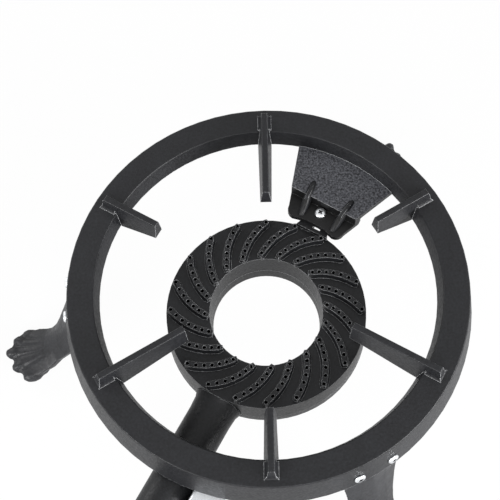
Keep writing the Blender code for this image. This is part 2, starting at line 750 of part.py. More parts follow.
def head_profile():
    ceiling = BURNER_DROP + BURNER_PLATE
    seam = above_floor(SEAM_DROP)
    return [
        (BURNER_R, above_floor(BURNER_DROP)),
        (BURNER_R + wall_lean(SEAM_DROP), seam),
        (BURNER_R + wall_lean(SEAM_DROP) - BURNER_WALL, seam),
        (BURNER_R + wall_lean(ceiling) - BURNER_WALL, above_floor(ceiling)),
        (BURNER_HOLE_R - wall_lean(ceiling) + BURNER_WALL, above_floor(ceiling)),
        (BURNER_HOLE_R - wall_lean(SEAM_DROP) + BURNER_WALL, seam),
        (BURNER_HOLE_R - wall_lean(SEAM_DROP), seam),
        (BURNER_HOLE_R, above_floor(BURNER_DROP)),
    ]


def base_profile():
    seam = above_floor(SEAM_DROP) - FIT
    rim_r = BURNER_R + wall_lean(SEAM_DROP)
    hole_r = BURNER_HOLE_R - wall_lean(SEAM_DROP)
    under = above_floor(BASE_RIM_DROP)
    lip = above_floor(BASE_LIP_DROP)
    return [
        (rim_r, seam),
        (rim_r + 0.0005, under + BASE_CHAMFER),
        (rim_r + 0.0005 - BASE_CHAMFER, under),
        (hole_r + BURNER_WALL, under),
        (hole_r + BURNER_WALL - 0.0005, lip),
        (hole_r - 0.0005, lip),
        (hole_r, seam),
        (hole_r + BURNER_WALL, seam),
        (hole_r + BURNER_WALL, under + BASE_FLOOR),
        (rim_r - BURNER_WALL, under + BASE_FLOOR),
        (rim_r - BURNER_WALL, seam),
    ]


def rib_point(radius):
    """Azimuth, from the outer port, at which the rib's arc passes this radius."""
    centre = RIB_ARC_AT
    toward = math.acos((radius ** 2 + centre ** 2 - RIB_ARC_R ** 2) / (2 * radius * centre))
    return math.degrees(toward) - RIB_ARC_LAG


def rib_azimuth(radius):
    outer = rib_point(PORT_LAST_R)
    return RIB_OUTER_AZIMUTH + rib_point(radius) - outer


def port_radii():
    step = (PORT_LAST_R - PORT_FIRST_R) / (PORTS_PER_RIB - 1)
    return [PORT_FIRST_R + step * i for i in range(PORTS_PER_RIB)]


def rib_line():
    """The rib's middle line, with a little more at each end than the ports."""
    ports = [polar(radius, rib_azimuth(radius)) for radius in port_radii()]
    first = (ports[0] - ports[1]).normalized()
    last = (ports[-1] - ports[-2]).normalized()
    return [ports[0] + first * RIB_END] + ports + [ports[-1] + last * RIB_END * 0.6]


def rib():
    """A raised swirl rib with rounded ends and drafted sides."""
    line = rib_line()
    sides = {"low": [], "high": []}
    for key, half in (("low", RIB_HALF + RIB_DRAFT), ("high", RIB_HALF - RIB_DRAFT)):
        left = []
        right = []
        for i, point in enumerate(line):
            ahead = line[min(i + 1, len(line) - 1)] - line[max(i - 1, 0)]
            across = Vector((-ahead.y, ahead.x, 0.0)).normalized()
            width = half * (0.62 if i in (0, len(line) - 1) else 1.0)
            left.append(point + across * width)
            right.append(point - across * width)
        sides[key] = left + right[::-1]
    top = above_floor(BURNER_DROP) + RIB_RISE
    root = above_floor(BURNER_DROP) - BURNER_PLATE * 0.4
    return loft([[(p.x, p.y, root) for p in sides["low"]], [(p.x, p.y, top) for p in sides["high"]]])


def ports():
    """All gas ports as one cutter, each a small six-sided drill."""
    low = above_floor(BURNER_DROP + BURNER_PLATE + 0.001)
    high = above_floor(BURNER_DROP) + RIB_RISE + 0.001
    drills = []
    for k in range(RIB_COUNT):
        for radius in port_radii():
            spot = polar(radius, rib_azimuth(radius) + 360.0 * k / RIB_COUNT)
            drills.append(moved(prism(circle(PORT_R, 6), low, high), Matrix.Translation(spot)))
    return merged(*drills)


def pillar_places():
    return [polar(PILLAR_AT, PILLAR_AZIMUTH + 360.0 * k / PILLAR_COUNT) for k in range(PILLAR_COUNT)]


def burner_place(along, azimuth, z=0.0):
    """A point this far from the burner's axis."""
    return Vector((*BURNER_CENTRE, 0.0)) + polar(along, azimuth, z)


def tube_frame(along=0.0):
    """On the tube's axis, Z outwards along it, Y up; along is measured from the burner's axis."""
    return frame(burner_place(along, TUBE_AZIMUTH, above_floor(TUBE_DROP)), polar(1.0, TUBE_AZIMUTH))


def tongue_screw_place(z=0.0):
    """The screw that holds the burner's ear to the tongue stands opposite the tube."""
    return burner_place(EAR_SCREW_AT, TUBE_AZIMUTH - 180.0, z)


def tube_solid():
    """The mixer tube's outside, from inside the burner to its flanged mouth."""
    start = BURNER_R - TUBE_STUB
    rim = BURNER_R
    swell = rim - 0.001
    end = TUBE_END_AT
    profile = [
        (0.0, start),
        (TUBE_R, start),
        (TUBE_R, swell - 0.0005),
        (TUBE_ROOT_R, swell),
        ((TUBE_ROOT_R + TUBE_R * 3) / 4, swell + TUBE_ROOT_LENGTH * 0.35),
        (TUBE_R, swell + TUBE_ROOT_LENGTH),
        (TUBE_R, end - MOUTH_FLANGE - 0.004),
        (MOUTH_FLANGE_R - 0.001, end - MOUTH_FLANGE),
        (MOUTH_FLANGE_R, end - MOUTH_FLANGE * 0.8),
        (MOUTH_FLANGE_R, end),
        (0.0, end),
    ]
    return turned_on_axis(profile, TUBE_SEGMENTS)


def tube_bore():
    start = BURNER_R - TUBE_STUB - 0.010
    return prism(circle(TUBE_BORE_R, TUBE_SEGMENTS), start, TUBE_END_AT + 0.010)


def mouth_screw_places():
    """On the mouth's face, at each screw of the mouth plate."""
    places = []
    for k in range(MOUTH_SCREWS):
        turn = Matrix.Rotation(math.tau * k / MOUTH_SCREWS, 4, "Z")
        aside = Matrix.Translation((0, MOUTH_SCREW_AT, 0))
        places.append(tube_frame(TUBE_END_AT) @ turn @ aside)
    return places


def ear_outline():
    rim = BURNER_R - BURNER_WALL * 0.6
    screw = EAR_SCREW_AT
    nose = []
    for i in range(9):
        angle = math.radians(90.0 - 180.0 * i / 8)
        nose.append((screw + EAR_PAST_SCREW * math.cos(angle), EAR_PAST_SCREW * math.sin(angle)))
    return [(rim, -EAR_HALF), *[(x, y) for x, y in reversed(nose)], (rim, EAR_HALF)]


def ear_levels():
    """The ear's upper and lower faces; its top carries the tongue's pad."""
    top = above_floor(PAD_DROP + TONGUE_THICK) - FIT
    return top - EAR_THICK, top


def burner_centre():
    return burner_place(0.0, 0.0)


def base_screw_seat():
    return above_floor(BASE_RIM_DROP) - FIT


def build_burner_head(parent, material):
    spot = Matrix.Translation(burner_centre())
    head = add_object("burner_head", turned(head_profile(), BURNER_SEGMENTS), material, parent, spot)
    added = operand_group("head_added")
    for k in range(RIB_COUNT):
        turn = Matrix.Rotation(math.tau * k / RIB_COUNT, 4, "Z")
        helper("rib", rib(), parent, added, spot @ turn)
    low, high = ear_levels()
    ear_turn = spot @ Matrix.Rotation(math.radians(TUBE_AZIMUTH - 180.0), 4, "Z")
    helper("ear", prism(ear_outline(), low, high), parent, added, ear_turn)
    helper("mixer_tube", tube_solid(), parent, added, tube_frame())
    floor = above_floor(BASE_RIM_DROP) + BASE_FLOOR + FIT
    for place in pillar_places():
        pillar = prism(circle(PILLAR_R, 12), floor, above_floor(BURNER_DROP + BURNER_PLATE * 0.5))
        helper("pillar", pillar, parent, added, spot @ Matrix.Translation(place))
    combine(head, added, "UNION")

    cut = operand_group("head_cut")
    helper("ports", ports(), parent, cut, spot)
    helper("tube_bore", tube_bore(), parent, cut, tube_frame())
    inner, outer = BURNER_R + EAR_SLOT[0], BURNER_R + EAR_SLOT[1]
    near, far = EAR_SLOT_ASIDE - EAR_SLOT_HALF, EAR_SLOT_ASIDE + EAR_SLOT_HALF
    slot = [(inner, near), (outer, near), (outer, far), (inner, far)]
    helper("ear_slot", prism(slot, low - 0.010, high + 0.010), parent, cut, ear_turn)
    ear_hole = screw_hole(M6_R, low - 0.002, high + 0.002)
    helper("ear_hole", ear_hole, parent, cut, Matrix.Translation(tongue_screw_place()))
    for place in pillar_places():
        tapped = screw_hole(M5_R, floor - 0.003, floor + 0.014)
        helper("pillar_hole", tapped, parent, cut, spot @ Matrix.Translation(place))
    for place in mouth_screw_places():
        helper("flange_hole", screw_hole(M5_R, -MOUTH_FLANGE * 0.8, 0.002), parent, cut, place)
    combine(head, cut, "DIFFERENCE")
    return head


def inlet_dam():
    """Half-round block under the base's floor that closes the lower part of the tube's end."""
    end = BURNER_R - TUBE_STUB - FIT
    start = end - INLET_DAM
    chord = above_floor(BASE_RIM_DROP) + BASE_FLOOR * 0.5 - above_floor(TUBE_DROP)
    start_angle = math.asin(chord / TUBE_R)
    count = 12
    sweep = -math.pi - 2 * start_angle
    outline = []
    for i in range(count + 1):
        angle = start_angle + sweep * i / count
        outline.append((TUBE_R * math.cos(angle), TUBE_R * math.sin(angle)))
    return prism(outline, start, end)


def build_burner_base(parent, material):
    spot = Matrix.Translation(burner_centre())
    base = add_object("burner_base", turned(base_profile(), BURNER_SEGMENTS), material, parent, spot)
    added = operand_group("base_added")
    helper("inlet_dam", inlet_dam(), parent, added, tube_frame())
    combine(base, added, "UNION")
    cut = operand_group("base_cut")
    past_rim = BURNER_R + TUBE_ROOT_LENGTH
    notch = prism(circle(TUBE_R + FIT * 2, TUBE_SEGMENTS), BURNER_R - TUBE_STUB - FIT, past_rim)
    helper("tube_notch", notch, parent, cut, tube_frame())
    swell_notch = prism(circle(TUBE_ROOT_R + FIT * 2, TUBE_SEGMENTS), BURNER_R - TUBE_ROOT_SINK, past_rim)
    helper("swell_notch", swell_notch, parent, cut, tube_frame())
    for place in pillar_places():
        hole = screw_hole(M5_R, above_floor(BASE_LIP_DROP), above_floor(SEAM_DROP))
        helper("base_hole", hole, parent, cut, spot @ Matrix.Translation(place))
    combine(base, cut, "DIFFERENCE")
    return base


def build_base_screws(parent, material):
    seat = base_screw_seat()
    length = BASE_FLOOR + FIT * 2 + BASE_SCREW_BITE
    downwards = Matrix.Rotation(math.pi, 4, "X")
    names = [f"burner_base_screw_{number + 1}" for number in range(PILLAR_COUNT)]
    places = [Matrix.Translation(burner_centre() + place + Vector((0, 0, seat))) @ downwards
              for place in pillar_places()]
    add_copies(names, pan_screw(M5_R, M5_HEAD_R, M5_HEAD, length), material, parent, places)


def build_tongue_fasteners(parent, material):
    top = above_floor(PAD_DROP) + FIT
    low, _ = ear_levels()
    washer_face = low - FIT
    nut_face = washer_face - M6_WASHER - FIT
    length = top - nut_face + M6_NUT + THREAD_PAST_NUT

    def at(z):
        return Matrix.Translation(tongue_screw_place(z))

    add_object("tongue_screw", pan_screw(M6_R, M6_HEAD_R, M6_HEAD, length), material, parent, at(top))
    ring = washer(M6_WASHER_R, M6_R + HOLE_CLEARANCE, M6_WASHER)
    add_object("tongue_washer", ring, material, parent, at(washer_face))
    add_object("tongue_nut", hex_nut(M6_NUT_FLATS, M6_NUT, nut_bore(M6_R)), material, parent, at(nut_face))


# ---- hanger --------------------------------------------------------------------------------------
def wing_level():
    """Upper face of the hanger's wing, in the tube's frame."""
    return above_floor(SKIRT_DEPTH) - FIT - above_floor(TUBE_DROP)


def bent_outline(points, bend, steps=4):
    """Rounds the corners of an open line of 2-D points."""
    out = [points[0]]
    for before, corner, after in zip(points, points[1:], points[2:]):
        a = (before - corner).normalized()
        b = (after - corner).normalized()
        half = a.angle(b) / 2
        reach = bend / math.tan(half)
        centre = corner + (a + b).normalized() * bend / math.sin(half)
        start = (corner + a * reach - centre).normalized()
        end = (corner + b * reach - centre).normalized()
        for i in range(steps + 1):
            out.append(centre + start.slerp(end, i / steps) * bend)
    out.append(points[-1])
    return out


def hanger_inner_line():
    """The strip's inner face: from the hook's end round under the tube, up its side, and along the wing."""
    hug = TUBE_R + FIT
    steps = 14
    end, start = HANGER_HOOK
    hook = []
    for i in range(steps + 1):
        angle = -math.radians(end + (start - end) * i / steps)
        hook.append(Vector((hug * math.cos(angle), hug * math.sin(angle))))
    top = wing_level()
    corner = Vector((hug + HANGER_SPLAY, top))
    return hook[:-1] + bent_outline([hook[-1], corner, Vector((HANGER_WING_END, top))], HANGER_BEND)


def hanger():
    """A sheet-metal strip hooked under the tube, with a wing on one side."""
    inner = hanger_inner_line()
    outer = []
    for i, point in enumerate(inner):
        ahead = inner[min(i + 1, len(inner) - 1)] - inner[max(i - 1, 0)]
        away = Vector((ahead.y, -ahead.x)).normalized()
        outer.append(point + away * HANGER_SHEET)
    outline = [tuple(p) for p in inner] + [tuple(p) for p in reversed(outer)]
    return prism(outline, *HANGER_SPAN)


def build_hanger(parent, material):
    strap = add_object("tube_hanger", hanger(), material, parent, tube_frame())
    cut = operand_group("hanger_cut")
    for place in hanger_screw_places():
        hole = screw_hole(M6_R, above_floor(SKIRT_DEPTH + 0.010), above_floor(SKIRT_DEPTH - 0.004))
        helper("wing_hole", hole, parent, cut, Matrix.Translation(place))
    combine(strap, cut, "DIFFERENCE")

    seat = above_floor(SKIRT_DEPTH) - FIT - HANGER_SHEET - FIT
    downwards = Matrix.Rotation(math.pi, 4, "X")
    places = [Matrix.Translation(place) @ downwards for place in hanger_screw_places(seat)]
    screw = pan_screw(M6_R, M6_HEAD_R, M6_HEAD, HANGER_SCREW_LENGTH)
    add_copies(["hanger_screw_1", "hanger_screw_2"], screw, material, parent, places)


# ---- mouth plate, shutter and gas inlet ----------------------------------------------------------
def ring_disc(outer_r, bore_r, low, high, segments):
    return turned([(bore_r, low), (outer_r, low), (outer_r, high), (bore_r, high)], segments)


def window_cutters(low, high):
    """Air windows: a ring of annular slots."""
    inner, outer = WINDOW_R
    steps = 5
    slots = []
    for k in range(WINDOW_COUNT):
        start = 360.0 * k / WINDOW_COUNT - WINDOW_SWEEP / 2
        angles = [math.radians(start + WINDOW_SWEEP * i / steps) for i in range(steps + 1)]
        outline = [(outer * math.cos(a), outer * math.sin(a)) for a in angles]
        outline += [(inner * math.cos(a), inner * math.sin(a)) for a in reversed(angles)]
        slots.append(prism(outline, low, high))
    return merged(*slots)


def build_mouth_plate(parent, material, screw_material):
    start = FIT
    end = start + MOUTH_PLATE
    bore = HOLDER_THREAD_R + FIT
    place = tube_frame(TUBE_END_AT)
    plate = add_object("mouth_plate", ring_disc(MOUTH_FLANGE_R, bore, start, end, TUBE_SEGMENTS),
                       material, parent, place)
    cut = operand_group("mouth_cut")
    helper("plate_windows", window_cutters(start - 0.002, end + 0.002), parent, cut, place)
    seated = Matrix.Translation((0, 0, end + FIT))
    names = []
    places = []
    for spot in mouth_screw_places():
        helper("plate_hole", screw_hole(M5_R, start - 0.002, end + 0.002), parent, cut, spot)
        names.append(f"mouth_plate_screw_{len(names) + 1}")
        places.append(spot @ seated)
    combine(plate, cut, "DIFFERENCE")
    length = FIT + end + MOUTH_FLANGE * 0.6
    add_copies(names, pan_screw(M5_R, M5_HEAD_R, M5_HEAD, length), screw_material, parent, places)


def shutter_levels():
    low = FIT + MOUTH_PLATE + FIT
    return low, low + SHUTTER_SHEET


def build_shutter(parent, material):
    """The shutter turns about the tube's axis; its origin lies there."""
    low, high = shutter_levels()
    place = tube_frame(TUBE_END_AT)
    disc = ring_disc(SHUTTER_R, SPINDLE_R + RUNNING_FIT, low, high, TUBE_SEGMENTS)
    shutter = add_object("air_shutter", disc, material, parent, place)
    added = operand_group("shutter_added")
    tab_turn = place @ Matrix.Rotation(math.radians(30.0), 4, "Z")
    tab_low = (low + high - SHUTTER_TAB_SHEET) / 2
    reach = [(SHUTTER_R - 0.003, -SHUTTER_TAB_HALF), (SHUTTER_TAB_REACH, -SHUTTER_TAB_HALF),
             (SHUTTER_TAB_REACH, SHUTTER_TAB_HALF), (SHUTTER_R - 0.003, SHUTTER_TAB_HALF)]
    helper("tab", prism(reach, tab_low, tab_low + SHUTTER_TAB_SHEET), parent, added, tab_turn)
    wide = SHUTTER_TAB_HALF * 1.15
    end = SHUTTER_TAB_REACH + 0.0004
    fold = [(end - SHUTTER_SHEET, -wide), (end, -wide), (end, wide), (end - SHUTTER_SHEET, wide)]
    helper("tab_fold", prism(fold, low, low + SHUTTER_TAB_RISE), parent, added, tab_turn)
    combine(shutter, added, "UNION")
    cut = operand_group("shutter_cut")
    rest_turn = Matrix.Rotation(math.radians(SHUTTER_REST), 4, "Z")
    helper("shutter_windows", window_cutters(low - 0.002, high + 0.002), parent, cut, place @ rest_turn)
    combine(shutter, cut, "DIFFERENCE")
    return shutter


def holder_levels():
    """Where the brass holder's steps lie along the tube's axis, from the mouth outwards."""
    inside = FIT - HOLDER_THREAD
    shoulder = FIT + MOUTH_PLATE + FIT
    hex_start = shoulder + SPINDLE_LENGTH
    hex_end = hex_start + HOLDER_HEX
    flare_end = hex_end + FLARE_LENGTH
    return inside, shoulder, hex_start, hex_end, flare_end


def build_holder(parent, material):
    inside, shoulder, hex_start, hex_end, flare_end = holder_levels()
    place = tube_frame(TUBE_END_AT)
    neck = FLARE_R * 0.86
    profile = [
        (GAS_BORE_R, inside),
        (HOLDER_THREAD_R, inside),
        (HOLDER_THREAD_R, shoulder),
        (SPINDLE_R, shoulder),
        (SPINDLE_R, hex_start + HOLDER_HEX * 0.5),
        (neck, hex_start + HOLDER_HEX * 0.5),
        (neck, hex_end + 0.002),
        (FLARE_R, hex_end + 0.003),
        (FLARE_R, flare_end - FLARE_CONE),
        (GAS_BORE_R + 0.0008, flare_end),
        (GAS_BORE_R, flare_end - 0.0008),
    ]
    holder = add_object("orifice_holder", turned(profile, 20), material, parent, place)
    added = operand_group("holder_added")
    hexa = hexagon(HOLDER_FLATS)
    bm = bmesh.new()
    bore = circle(GAS_BORE_R + 0.001, 6)
    rings = []
    for z in (hex_start, hex_end):
        rings.append([bm.verts.new((x, y, z)) for x, y in hexa])
        rings.append([bm.verts.new((x, y, z)) for x, y in bore])
    low_out, low_in, top_out, top_in = rings
    for i in range(6):
        bm.faces.new((low_out[i - 1], low_in[i - 1], low_in[i], low_out[i]))
        bm.faces.new((top_out[i - 1], top_out[i], top_in[i], top_in[i - 1]))
        bm.faces.new((low_out[i - 1], low_out[i], top_out[i], top_out[i - 1]))
        bm.faces.new((low_in[i - 1], top_in[i - 1], top_in[i], low_in[i]))
    helper("hexagon", close(bm), parent, added, place)
    combine(holder, added, "UNION")
    return holder


def build_jet(parent, material):
    """The small brass jet screwed into the holder's inner end."""
    inside = holder_levels()[0] - FIT
    place = tube_frame(TUBE_END_AT)
    flats = JET_FLATS / 2
    profile = [
        (JET_HOLE_R, inside - JET_LENGTH),
        (JET_HOLE_R * 2.2, inside - JET_LENGTH),
        (flats, inside - JET_LENGTH * 0.55),
        (flats, inside),
        (GAS_BORE_R - FIT, inside),
        (GAS_BORE_R - FIT, inside + JET_THREAD),
        (JET_HOLE_R, inside + JET_THREAD),
    ]
    return add_object("gas_jet", turned(profile, 12), material, parent, place)


def spring_path():
    _, high = shutter_levels()
    hex_start = holder_levels()[2]
    low = high + FIT + SPRING_WIRE_R
    top = hex_start - FIT - SPRING_WIRE_R
    steps = int(12 * SPRING_TURNS)
    points = []
    for i in range(steps + 1):
        share = i / steps
        angle = math.tau * SPRING_TURNS * share
        points.append((SPRING_R * math.cos(angle), SPRING_R * math.sin(angle), low + (top - low) * share))
    return points


def build_spring(parent, material):
    curve = bpy.data.curves.new("shutter_spring", "CURVE")
    curve.dimensions = "3D"
    curve.bevel_depth = SPRING_WIRE_R
    curve.bevel_resolution = 1
    curve.use_fill_caps = True
    points = spring_path()
    line = curve.splines.new("POLY")
    line.points.add(len(points) - 1)
    for knot, point in zip(line.points, points):
        knot.co = (*point, 1.0)
    curve.materials.append(material)
    spring = bpy.data.objects.new("shutter_spring", curve)
    bpy.context.scene.collection.objects.link(spring)
    spring.parent = parent
    spring.matrix_basis = tube_frame(TUBE_END_AT)
    return spring


# ---- whole stand ---------------------------------------------------------------------------------
def centre_on_origin(root):
    """Moves the stand so that its outline's middle lies over the origin and its feet on the floor."""
    bpy.context.view_layer.update()
    graph = bpy.context.evaluated_depsgraph_get()
    low = Vector((math.inf,) * 3)
    high = Vector((-math.inf,) * 3)
    for piece in bpy.context.scene.objects:
        if piece.hide_render or piece.type == "EMPTY":
            continue
        shown = piece.evaluated_get(graph)
        mesh = shown.to_mesh()
        for vertex in mesh.vertices:
            point = shown.matrix_world @ vertex.co
            low = Vector(map(min, low, point))
            high = Vector(map(max, high, point))
        shown.to_mesh_clear()
    middle = (low + high) / 2
    root.location = (-middle.x, -middle.y, -low.z)
    bpy.context.view_layer.update()


def main():
    clear_scene()
    cast = paint("black_painted_cast_iron", (0.018, 0.018, 0.020), 0.62, 0.0)
    zinc = paint("zinc_plated_steel", (0.62, 0.63, 0.65), 0.30, 1.0)
    brass = paint("brass", (0.62, 0.42, 0.14), 0.35, 1.0)
    spring_steel = paint("spring_steel", (0.40, 0.40, 0.42), 0.35, 1.0)

    root = bpy.data.objects.new("stand", None)
    bpy.context.scene.collection.objects.link(root)
    build_ring(root, cast)
    for name, azimuth in LEG_AZIMUTHS.items():
        build_leg(name, azimuth, root, cast)
    build_leg_fasteners(root, zinc)
    build_burner_head(root, cast)
    build_burner_base(root, cast)
    build_base_screws(root, zinc)
    build_tongue_fasteners(root, zinc)
    build_hanger(root, zinc)
    build_mouth_plate(root, cast, zinc)
    build_shutter(root, zinc)
    build_holder(root, brass)
    build_jet(root, brass)
    build_spring(root, spring_steel)
    centre_on_origin(root)


main()
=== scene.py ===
# %% [markdown]
# # A propane burner stand
# A round cast-iron ring stands on three bowed legs and carries a pot on six inward prongs. A ring burner
# with swirling rows of ports hangs inside it, fed through a long mixer tube with an air shutter at its
# mouth. The solids come ready made and in their places. This lesson gives them soft cast edges, real
# screws and finishes, then the light and the camera.

# %% Load the solids
import json
import math

import bmesh
import bpy
from mathutils import Matrix, Vector, kdtree


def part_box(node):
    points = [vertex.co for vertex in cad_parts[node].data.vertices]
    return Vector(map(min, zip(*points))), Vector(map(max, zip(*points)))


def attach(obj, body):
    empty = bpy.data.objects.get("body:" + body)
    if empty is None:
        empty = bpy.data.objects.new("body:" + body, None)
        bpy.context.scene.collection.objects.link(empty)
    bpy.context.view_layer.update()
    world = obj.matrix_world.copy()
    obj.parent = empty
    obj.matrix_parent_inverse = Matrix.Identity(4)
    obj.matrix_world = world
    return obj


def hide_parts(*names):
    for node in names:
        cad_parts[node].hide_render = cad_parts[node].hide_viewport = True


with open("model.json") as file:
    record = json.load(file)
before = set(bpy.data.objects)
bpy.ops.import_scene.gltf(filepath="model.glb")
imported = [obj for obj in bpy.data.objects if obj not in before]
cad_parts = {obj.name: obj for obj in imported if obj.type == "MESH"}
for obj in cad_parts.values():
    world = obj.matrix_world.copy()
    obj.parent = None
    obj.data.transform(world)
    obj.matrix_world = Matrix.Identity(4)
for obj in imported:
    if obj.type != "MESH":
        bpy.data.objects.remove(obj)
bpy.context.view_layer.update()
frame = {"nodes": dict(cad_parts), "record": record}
nodes = frame["nodes"]

# %% [markdown]
# Everything is placed from the solids' own boxes. The ring is the only piece that is round about the
# stand's middle, so its box gives that middle, and its highest points are the prongs' flat tops.

# %% Main places
MM = 0.001
ring_low, ring_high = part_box("ring_frame")
PRONG_RISE = 14 * MM
RING_TOP = ring_high.z - PRONG_RISE
RING_MIDDLE = Vector(((ring_low.x + ring_high.x) / 2, (ring_low.y + ring_high.y) / 2, RING_TOP))
print("ring middle:", [round(v, 4) for v in RING_MIDDLE])

# %% [markdown]
# The camera comes first, because every later choice is judged through it. It looks down steeply from the
# front, with a slight roll, as someone standing over the stand would hold it.

# %% Camera
ELEVATION = math.radians(66.86)
ROLL = math.radians(-3.3)
TURN = math.radians(2.3)
FOCAL = 83.38
EYE = Vector((-15.43, -417.26, 1069.96))   # from the ring's middle before the turn, in millimetres
forward = Vector((0, math.cos(ELEVATION), -math.sin(ELEVATION)))
up = Vector((0, math.sin(ELEVATION), math.cos(ELEVATION)))
side = Vector((1, 0, 0))
rolled_side = side * math.cos(ROLL) + up * math.sin(ROLL)
rolled_up = up * math.cos(ROLL) - side * math.sin(ROLL)
look = Matrix((rolled_side, rolled_up, -forward)).transposed().to_4x4()
turn = Matrix.Rotation(TURN, 4, "Z")
eye = turn @ EYE * MM

camera_data = bpy.data.cameras.new("camera")
camera_data.lens = FOCAL
camera_data.sensor_width = 36
camera_data.clip_start = 0.05
camera_data.clip_end = 20
camera = bpy.data.objects.new("camera", camera_data)
bpy.context.scene.collection.objects.link(camera)
camera.matrix_world = Matrix.Translation(RING_MIDDLE + eye) @ turn @ look
bpy.context.scene.camera = camera
print("camera at", [round(v, 3) for v in camera.location])


# %% [markdown]
# ## Finishes
# Colours are written as hex, as a paint chart gives them. Blender mixes light in linear values, so one
# function turns each channel. A second small function adds a node with its settings and links, and every
# material below is built with it.

# %% Colour and node helpers
def linear(hexa):
    channels = [int(hexa[i:i + 2], 16) / 255 for i in (1, 3, 5)]
    return (*[c / 12.92 if c <= 0.04045 else ((c + 0.055) / 1.055) ** 2.4 for c in channels], 1.0)


def add(tree, kind, inputs=None, **settings):
    """Adds one node: settings by name, inputs by socket, each a value or another node's output."""
    made = tree.nodes.new(kind)
    for name, value in settings.items():
        setattr(made, name, value)
    for socket, value in (inputs or {}).items():
        if isinstance(value, bpy.types.NodeSocket):
            tree.links.new(value, made.inputs[socket])
        else:
            made.inputs[socket].default_value = value
    return made


def new_material(name):
    material = bpy.data.materials.new(name)
    material.use_nodes = True
    tree = material.node_tree
    tree.nodes.clear()
    return material, tree


def stops(ramp_node, *pairs):
    """Sets a colour ramp's stops: (place, colour)."""
    ramp = ramp_node.color_ramp
    while len(ramp.elements) > len(pairs):
        ramp.elements.remove(ramp.elements[-1])
    while len(ramp.elements) < len(pairs):
        ramp.elements.new(1.0)
    for element, (place, colour) in zip(ramp.elements, pairs):
        element.position = place
        element.color = colour


print("paint black, linear:", [round(v, 4) for v in linear("#212225")])


# %% [markdown]
# ### Black stoving paint on sand-cast iron
# The iron keeps the grain of the sand it was poured in: small pits and bumps about a millimetre across,
# with broad soft unevenness between them. The black paint is a satin coat that fills the finest grain and
# is rubbed thin and greyer along the edges; the edge colour is also made much paler than the wear alone,
# as a painted highlight along every edge. Edges could be worn by painting a mask by hand. A Bevel node does
# it for any shape: it gives the normal that a rounded edge would have, and where that differs from the real
# one, there is an edge. The same rounded normal also gives each edge the bright line that a real casting
# shows, and the pale edge colour adds a painted highlight to that line.

# %% A mix of two colours
MIX_SHARE, MIX_FIRST, MIX_SECOND = 0, 6, 7   # the colour sockets' places on a Mix node
MIX_RESULT = 2


def mixed_colour(tree, share, first, second):
    """A colour between two; each may be a socket or a plain colour."""
    made = add(tree, "ShaderNodeMix", data_type="RGBA")
    for place, value in ((MIX_SHARE, share), (MIX_FIRST, first), (MIX_SECOND, second)):
        if isinstance(value, bpy.types.NodeSocket):
            tree.links.new(value, made.inputs[place])
        else:
            made.inputs[place].default_value = value
    return made.outputs[MIX_RESULT]


def height_of(tree, coord):
    return add(tree, "ShaderNodeSeparateXYZ", {0: coord}).outputs["Z"]


# %% [markdown]
# Two places on the ring's casting look unlike the rest. The tongue's flat plate was never rubbed smooth,
# so the sand's grit still shows through a thin coat, paler and coarser. Under it, round the pad with the
# screw and its step, the colour is darkened to near black as a painted shade, where the plate shades them.
# Each could be a material of its own on its own faces, but the casting is one piece. So each place is found
# by where it is: a height and a facing, or a distance from a point.

# %% Bare sand skin and painted shade round the pad
SAND_GRAIN = 1.1 * MM
LEVEL_WITHIN = 1.5 * MM
FACES_UP_OVER = 0.9


def sand_skin(tree, coord, skin, relief, level):
    """Gritty, paler skin and deeper relief on level faces near one height."""
    near = add(tree, "ShaderNodeMath", {0: height_of(tree, coord), 1: level, 2: LEVEL_WITHIN},
               operation="COMPARE").outputs[0]
    facing = height_of(tree, add(tree, "ShaderNodeNewGeometry").outputs["True Normal"])
    upward = add(tree, "ShaderNodeMath", {0: facing, 1: FACES_UP_OVER}, operation="GREATER_THAN").outputs[0]
    bare = add(tree, "ShaderNodeMath", {0: near, 1: upward}, operation="MULTIPLY").outputs[0]
    grit = add(tree, "ShaderNodeTexNoise", {"Vector": coord, "Scale": 1 / (SAND_GRAIN * 2), "Detail": 2.0,
                                            "Roughness": 0.75}).outputs["Fac"]
    ramp = add(tree, "ShaderNodeValToRGB", {"Fac": grit})
    stops(ramp, (0.36, linear("#1b1b1d")), (0.47, linear("#44454a")), (0.66, linear("#6c6d72")))
    deeper = add(tree, "ShaderNodeMath", {0: bare, 1: relief, 2: relief},
                 operation="MULTIPLY_ADD").outputs[0]
    return mixed_colour(tree, bare, skin, ramp.outputs[0]), deeper


def shade_painted_round_pad(tree, coord, skin, middle, reach, below):
    """Painted shade: a near-black colour round a middle, out to a reach, below a level."""
    away = add(tree, "ShaderNodeVectorMath", {0: coord, 1: middle}, operation="DISTANCE").outputs["Value"]
    inside = add(tree, "ShaderNodeMapRange", {"Value": away, "From Min": reach,
                                              "From Max": reach * 0.9}).outputs[0]
    under = add(tree, "ShaderNodeMath", {0: height_of(tree, coord), 1: below},
                operation="LESS_THAN").outputs[0]
    share = add(tree, "ShaderNodeMath", {0: inside, 1: under}, operation="MULTIPLY").outputs[0]
    return mixed_colour(tree, share, skin, linear("#0b0b0c"))


# %% [markdown]
# The paint itself is one function, because the ring, the legs and the burner were cast and sprayed alike.
# They differ in the size of the grain, in how dark the coat is, in how wide the edges are rubbed and in how
# pale the edges' painted highlight is.

# %% Painted cast iron
CLOUD_SIZE = 24 * MM         # the broad unevenness of a hand-rammed mould
CLOUD_RELIEF = 0.30 * MM
EDGE_BEGINS, EDGE_FULL = 0.985, 0.90   # how far the rounded normal agrees with the real one
EDGE_POLISH = -0.14          # rubbed edges are that much smoother
PAINT_IOR = 1.36             # a satin coat with a matting agent shines less than clear lacquer


